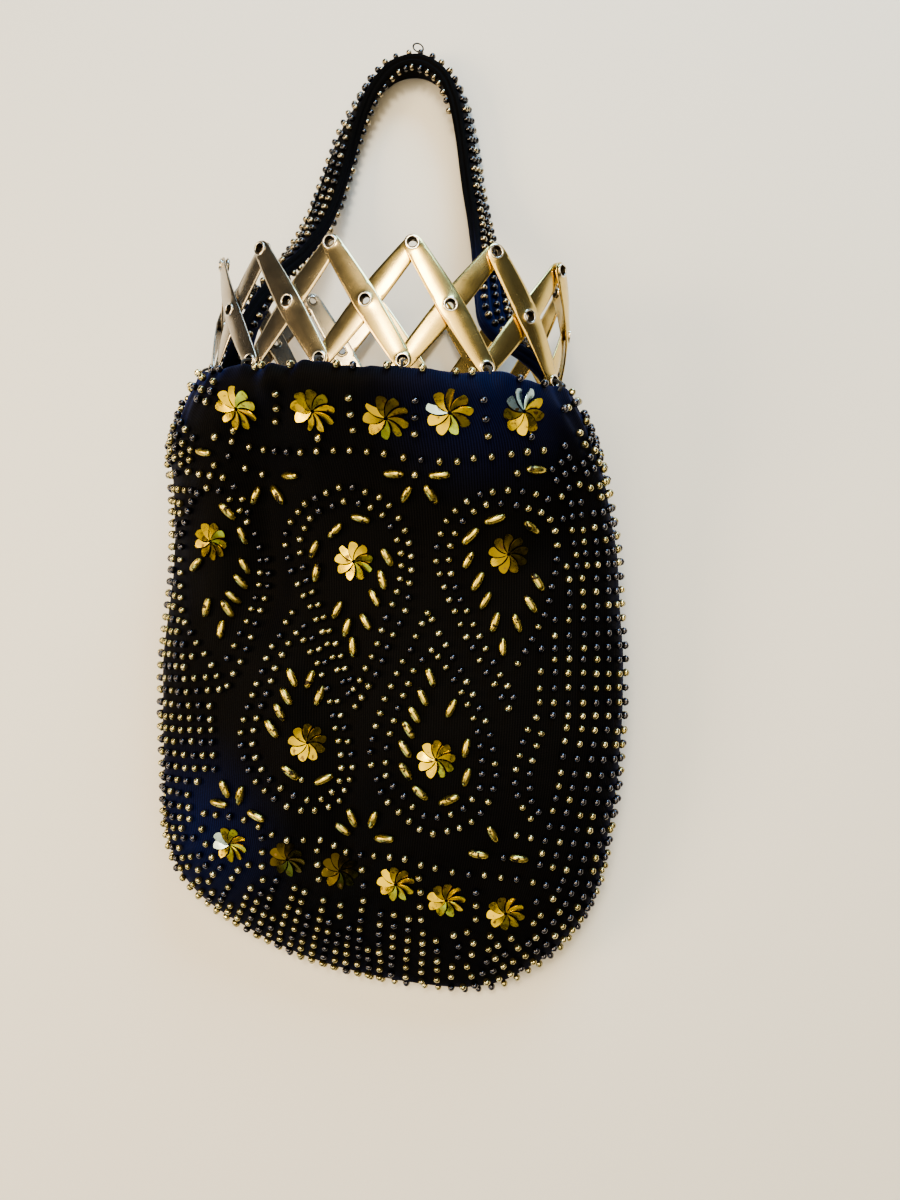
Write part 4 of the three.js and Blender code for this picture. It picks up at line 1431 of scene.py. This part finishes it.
# %% A needle's walk
GRID_PITCH = {"left": 4.25 * MM, "right": 4.6 * MM}
EDGES = {"left": shaped[0], "right": shaped[RIGHT_SEAM]}
EDGE_START, EDGE_STOP = 2.5 * MM, 2 * MM
TURNED_BACK = -0.2         # the cloth of one step faces away from that of the step before


def walk(start, facing, heading, pitch, count, parts=4):
    """Steps over the cloth from a point, yielding each bead's place, normal and heading."""
    here = Vector(start)
    for _ in range(count):
        for _ in range(parts):
            heading = (heading - facing * heading.dot(facing)).normalized()
            reached, new_facing, _, _ = cloth_tree.find_nearest(here + heading * (pitch / parts))
            if new_facing.dot(facing) < TURNED_BACK:
                return
            here, facing = reached, new_facing
        yield here, facing, heading


def row_starts(upwards):
    """Starts of rows down both sides, which head up over the front (1) or down over the back (-1)."""
    for side, edge in EDGES.items():
        run = run_of(edge)
        for travelled in np.arange(EDGE_START, run[-1] - EDGE_STOP, GRID_PITCH[side]):
            point, along = along_line(edge, run, travelled)
            start, facing, _, _ = cloth_tree.find_nearest(point)
            heading = facing.cross(along)
            if heading.z * upwards < 0:
                heading = -heading
            yield side, travelled / run[-1], start, facing, along, heading


print("rows of the grid:", len(list(row_starts(1))))

# %% Walk inwards from the edge
FRONT_LIMIT = {"left": 10, "right": 8, "foot": 8}
BACK_LIMIT = 18
FOOT_FROM = 0.80           # share of the way to the foot where the edge turns along the bottom
PRESSED_PITCH, PRESSED_TO = 3.5 * MM, 0.25     # near its top, the right side's rows are pressed together
BACK_ENDS = 0.3            # a row of the back stops where the cloth turns up again

motif_count = len(SEWN)
for side, share, start, facing, along, heading in row_starts(1):
    if free(start):
        sew(start, facing, along)
    limit = FRONT_LIMIT["foot"] if share > FOOT_FROM else FRONT_LIMIT[side]
    pressed = side == "right" and share < PRESSED_TO
    pitch = PRESSED_PITCH if pressed else GRID_PITCH[side]
    count = round(limit * GRID_PITCH[side] / pitch)
    for place, normal, going in walk(start, facing, heading, pitch, count):
        if any(inside(pixel_of(place), outline) for outline in KEEP_OUT):
            continue
        if free(place):
            sew(place, normal, going)
front_count = len(SEWN)
for side, share, start, facing, along, heading in row_starts(-1):
    for place, normal, going in walk(start, facing, heading, GRID_PITCH[side], BACK_LIMIT):
        if normal.z > BACK_ENDS:
            break
        if free(place):
            sew(place, normal, going)
print("border beads:", front_count - motif_count, "back beads:", len(SEWN) - front_count)

# %% [markdown]
# One more row runs all round on the edge of the rim, where the cloth is turned in. The slats rub it,
# and some of its beads are gone.

# %% Rim row
RIM_SHARE = 0.35           # of the way from the rim to the grid's next row
RIM_PROUD = 0.6 * MM
RIM_PITCH = 5.0 * MM
RIM_LOST = 0.25            # share of the row's beads that have come off
EYELET_CLEAR = 6.2 * MM    # the row stops short of each sewn eyelet

rim_line = shaped[:, 0] + RIM_SHARE * (shaped[:, 1] - shaped[:, 0])
closed_rim = np.concatenate([rim_line, rim_line[:1]])
rim_run = run_of(closed_rim)
before_rim = len(SEWN)
for travelled in np.arange(0.0, rim_run[-1] - RIM_PITCH / 2, RIM_PITCH):
    point, along = along_line(closed_rim, rim_run, travelled)
    column = int(np.interp(travelled, rim_run, np.arange(AROUND + 1))) % AROUND
    outward = Vector(normals[column, 1])
    place, facing, _, _ = cloth_tree.find_nearest(point + outward * RIM_PROUD)
    lost = draw.random() < RIM_LOST
    by_eyelet = min((pivot - place).length for pivot in foot_pivots) < EYELET_CLEAR
    if free(place) and not lost and not by_eyelet:
        sew(place, facing if facing.dot(outward) > 0 else outward, along)
print("rim beads:", len(SEWN) - before_rim)

# %% [markdown]
# The strap has three columns of beads on its outer face, one along its lower edge and one on its inner
# face, which ends past the top of the arch. The edge with the seam is left plain. Every other column
# starts half a step later. Where the strap passes between the slats, a bead that would touch the metal
# is left out.

# %% Strap beads
STRAP_PITCH = 4.0 * MM
STRAP_COLUMNS = (7.5, 1.1, 1.5, 1.9, 5.0)      # places round the ring, on from its lower edge
INNER_COLUMN, INNER_ENDS = 5.0, 0.58           # sewn on this share of the strap only
STRAP_BARE = 6 * MM                            # without beads at each end
STRAP_RISE = 0.55 * BEAD_RADIUS                # these beads sit deep in the padded cloth
SLAT_CLEAR = 2.0 * MM

slat_trees = [tree_of(slat) for slat in slats]
strap_tree = tree_of(strap)
STRAP_SEWN = []
for column, place_round in enumerate(STRAP_COLUMNS):
    line = smooth_at(strap_columns, np.array([place_round]), True)[0]
    sewn_from = STRAP_BARE + STRAP_PITCH / 2 * (column % 2)
    sewn_to = strap_run[-1] - STRAP_BARE
    if place_round == INNER_COLUMN:
        sewn_to = INNER_ENDS * strap_run[-1]
    for travelled in np.arange(sewn_from, sewn_to, STRAP_PITCH):
        point, along = along_line(line, strap_run, travelled)
        place, facing, _, _ = strap_tree.find_nearest(point)
        middle = place + facing * STRAP_RISE
        if min(tree.find_nearest(middle)[3] for tree in slat_trees) > SLAT_CLEAR:
            STRAP_SEWN.append((np.array(place), np.array(facing), np.array(along)))
print("strap beads:", len(STRAP_SEWN))

# %% [markdown]
# ## Making the beads
# Every place becomes a bead: the bead's own shape, turned so that its hole lies along the thread and set
# on the cloth. All the beads of a kind are one mesh. Each bead also gets its own size and colour within
# what a hank of old beads shows: gunmetal, bronze and pale gold. Those of the strap are darker. Towards
# the bag's right side the dark colour is made likelier as painted shade, since the beads there catch less
# light.

# %% Bead colours
BEAD_COLOURS = [
    # share of the beads, colour
    (0.30, (0.06, 0.06, 0.08)),
    (0.40, (0.36, 0.31, 0.14)),
    (0.30, (0.52, 0.46, 0.25)),
]
STRAP_COLOURS = [
    (0.50, (0.05, 0.05, 0.06)),
    (0.50, (0.32, 0.27, 0.18)),
]
PLAIN_GILT = [(1.0, (1.0, 1.0, 1.0))]
# painted shade: towards the bag's right side dark beads are made likelier
PAINTED_SHADE_FROM, PAINTED_SHADE_STEP, PAINTED_SHADE_MOST = 30 * MM, 25 * MM, 1.5


def pick_colour(draw, colours, across):
    """A colour by its share. Towards the right edge the first of them, the dark one, is likelier: painted
    shade.
    """
    darker = min(PAINTED_SHADE_MOST, max(0.0, (across - PAINTED_SHADE_FROM) / PAINTED_SHADE_STEP))
    choice = draw.random() ** (1.0 + darker)
    for share, colour in colours:
        if choice < share:
            return colour
        choice -= share
    return colours[-1][1]


print("bead colours:", len(BEAD_COLOURS) + len(STRAP_COLOURS))

# %% Beads from places
DULLEST, BRIGHTEST = 0.8, 1.15
SIZE_VARIES = 0.07
SLACK = 0.22 * MM           # how far a bead slips on its thread
FLOOR_GAP = 1.6 * MM        # lowest middle of a bead, so that none goes through the floor


def make_beads(name, shape, sewn, rise, finish, colours, seed):
    """One mesh of all the beads of a kind, each with its own size, slack and colour."""
    corners, faces = shape
    draw = random.Random(seed)
    points, polygons, tints = [], [], []
    for place, facing, along in sewn:
        up = facing / np.linalg.norm(facing)
        ahead = along - up * along.dot(up)
        ahead /= np.linalg.norm(ahead)
        side = np.cross(up, ahead)
        size = draw.uniform(1 - SIZE_VARIES, 1 + SIZE_VARIES)
        middle = place + up * rise + SLACK * (ahead * draw.uniform(-1, 1) + side * draw.uniform(-1, 1))
        middle[2] = max(middle[2], FLOOR_GAP)
        polygons.extend(tuple(corner + len(points) for corner in face) for face in faces)
        points.extend(middle + size * (corners @ np.array([ahead, side, up])))
        shade = draw.uniform(DULLEST, BRIGHTEST)
        colour = pick_colour(draw, colours, place[0])
        tints.extend([(*(shade * part for part in colour), 1.0)] * len(corners))
    mesh = bpy.data.meshes.new(name)
    mesh.from_pydata([tuple(point) for point in points], [], polygons)
    piece = bpy.data.objects.new(name, mesh)
    bpy.context.scene.collection.objects.link(piece)
    only(piece)
    bpy.ops.object.shade_smooth()
    set_tint(piece, tints)
    settle(piece, name, finish)
    print(name, len(sewn), "beads,", triangles(piece), "triangles")


make_beads("front_beads", ROUND_BEAD, SEWN[:front_count], BEAD_RISE, bead_glass, BEAD_COLOURS, seed=11)
make_beads("back_and_rim_beads", ROUND_BEAD, SEWN[front_count:], BEAD_RISE, bead_glass, BEAD_COLOURS,
           seed=12)
make_beads("strap_beads", ROUND_BEAD, STRAP_SEWN, STRAP_RISE, bead_glass, STRAP_COLOURS, seed=13)
make_beads("long_beads", LONG_BEAD, LONG_SEWN, LONG_RISE, rice_gilt, PLAIN_GILT, seed=14)
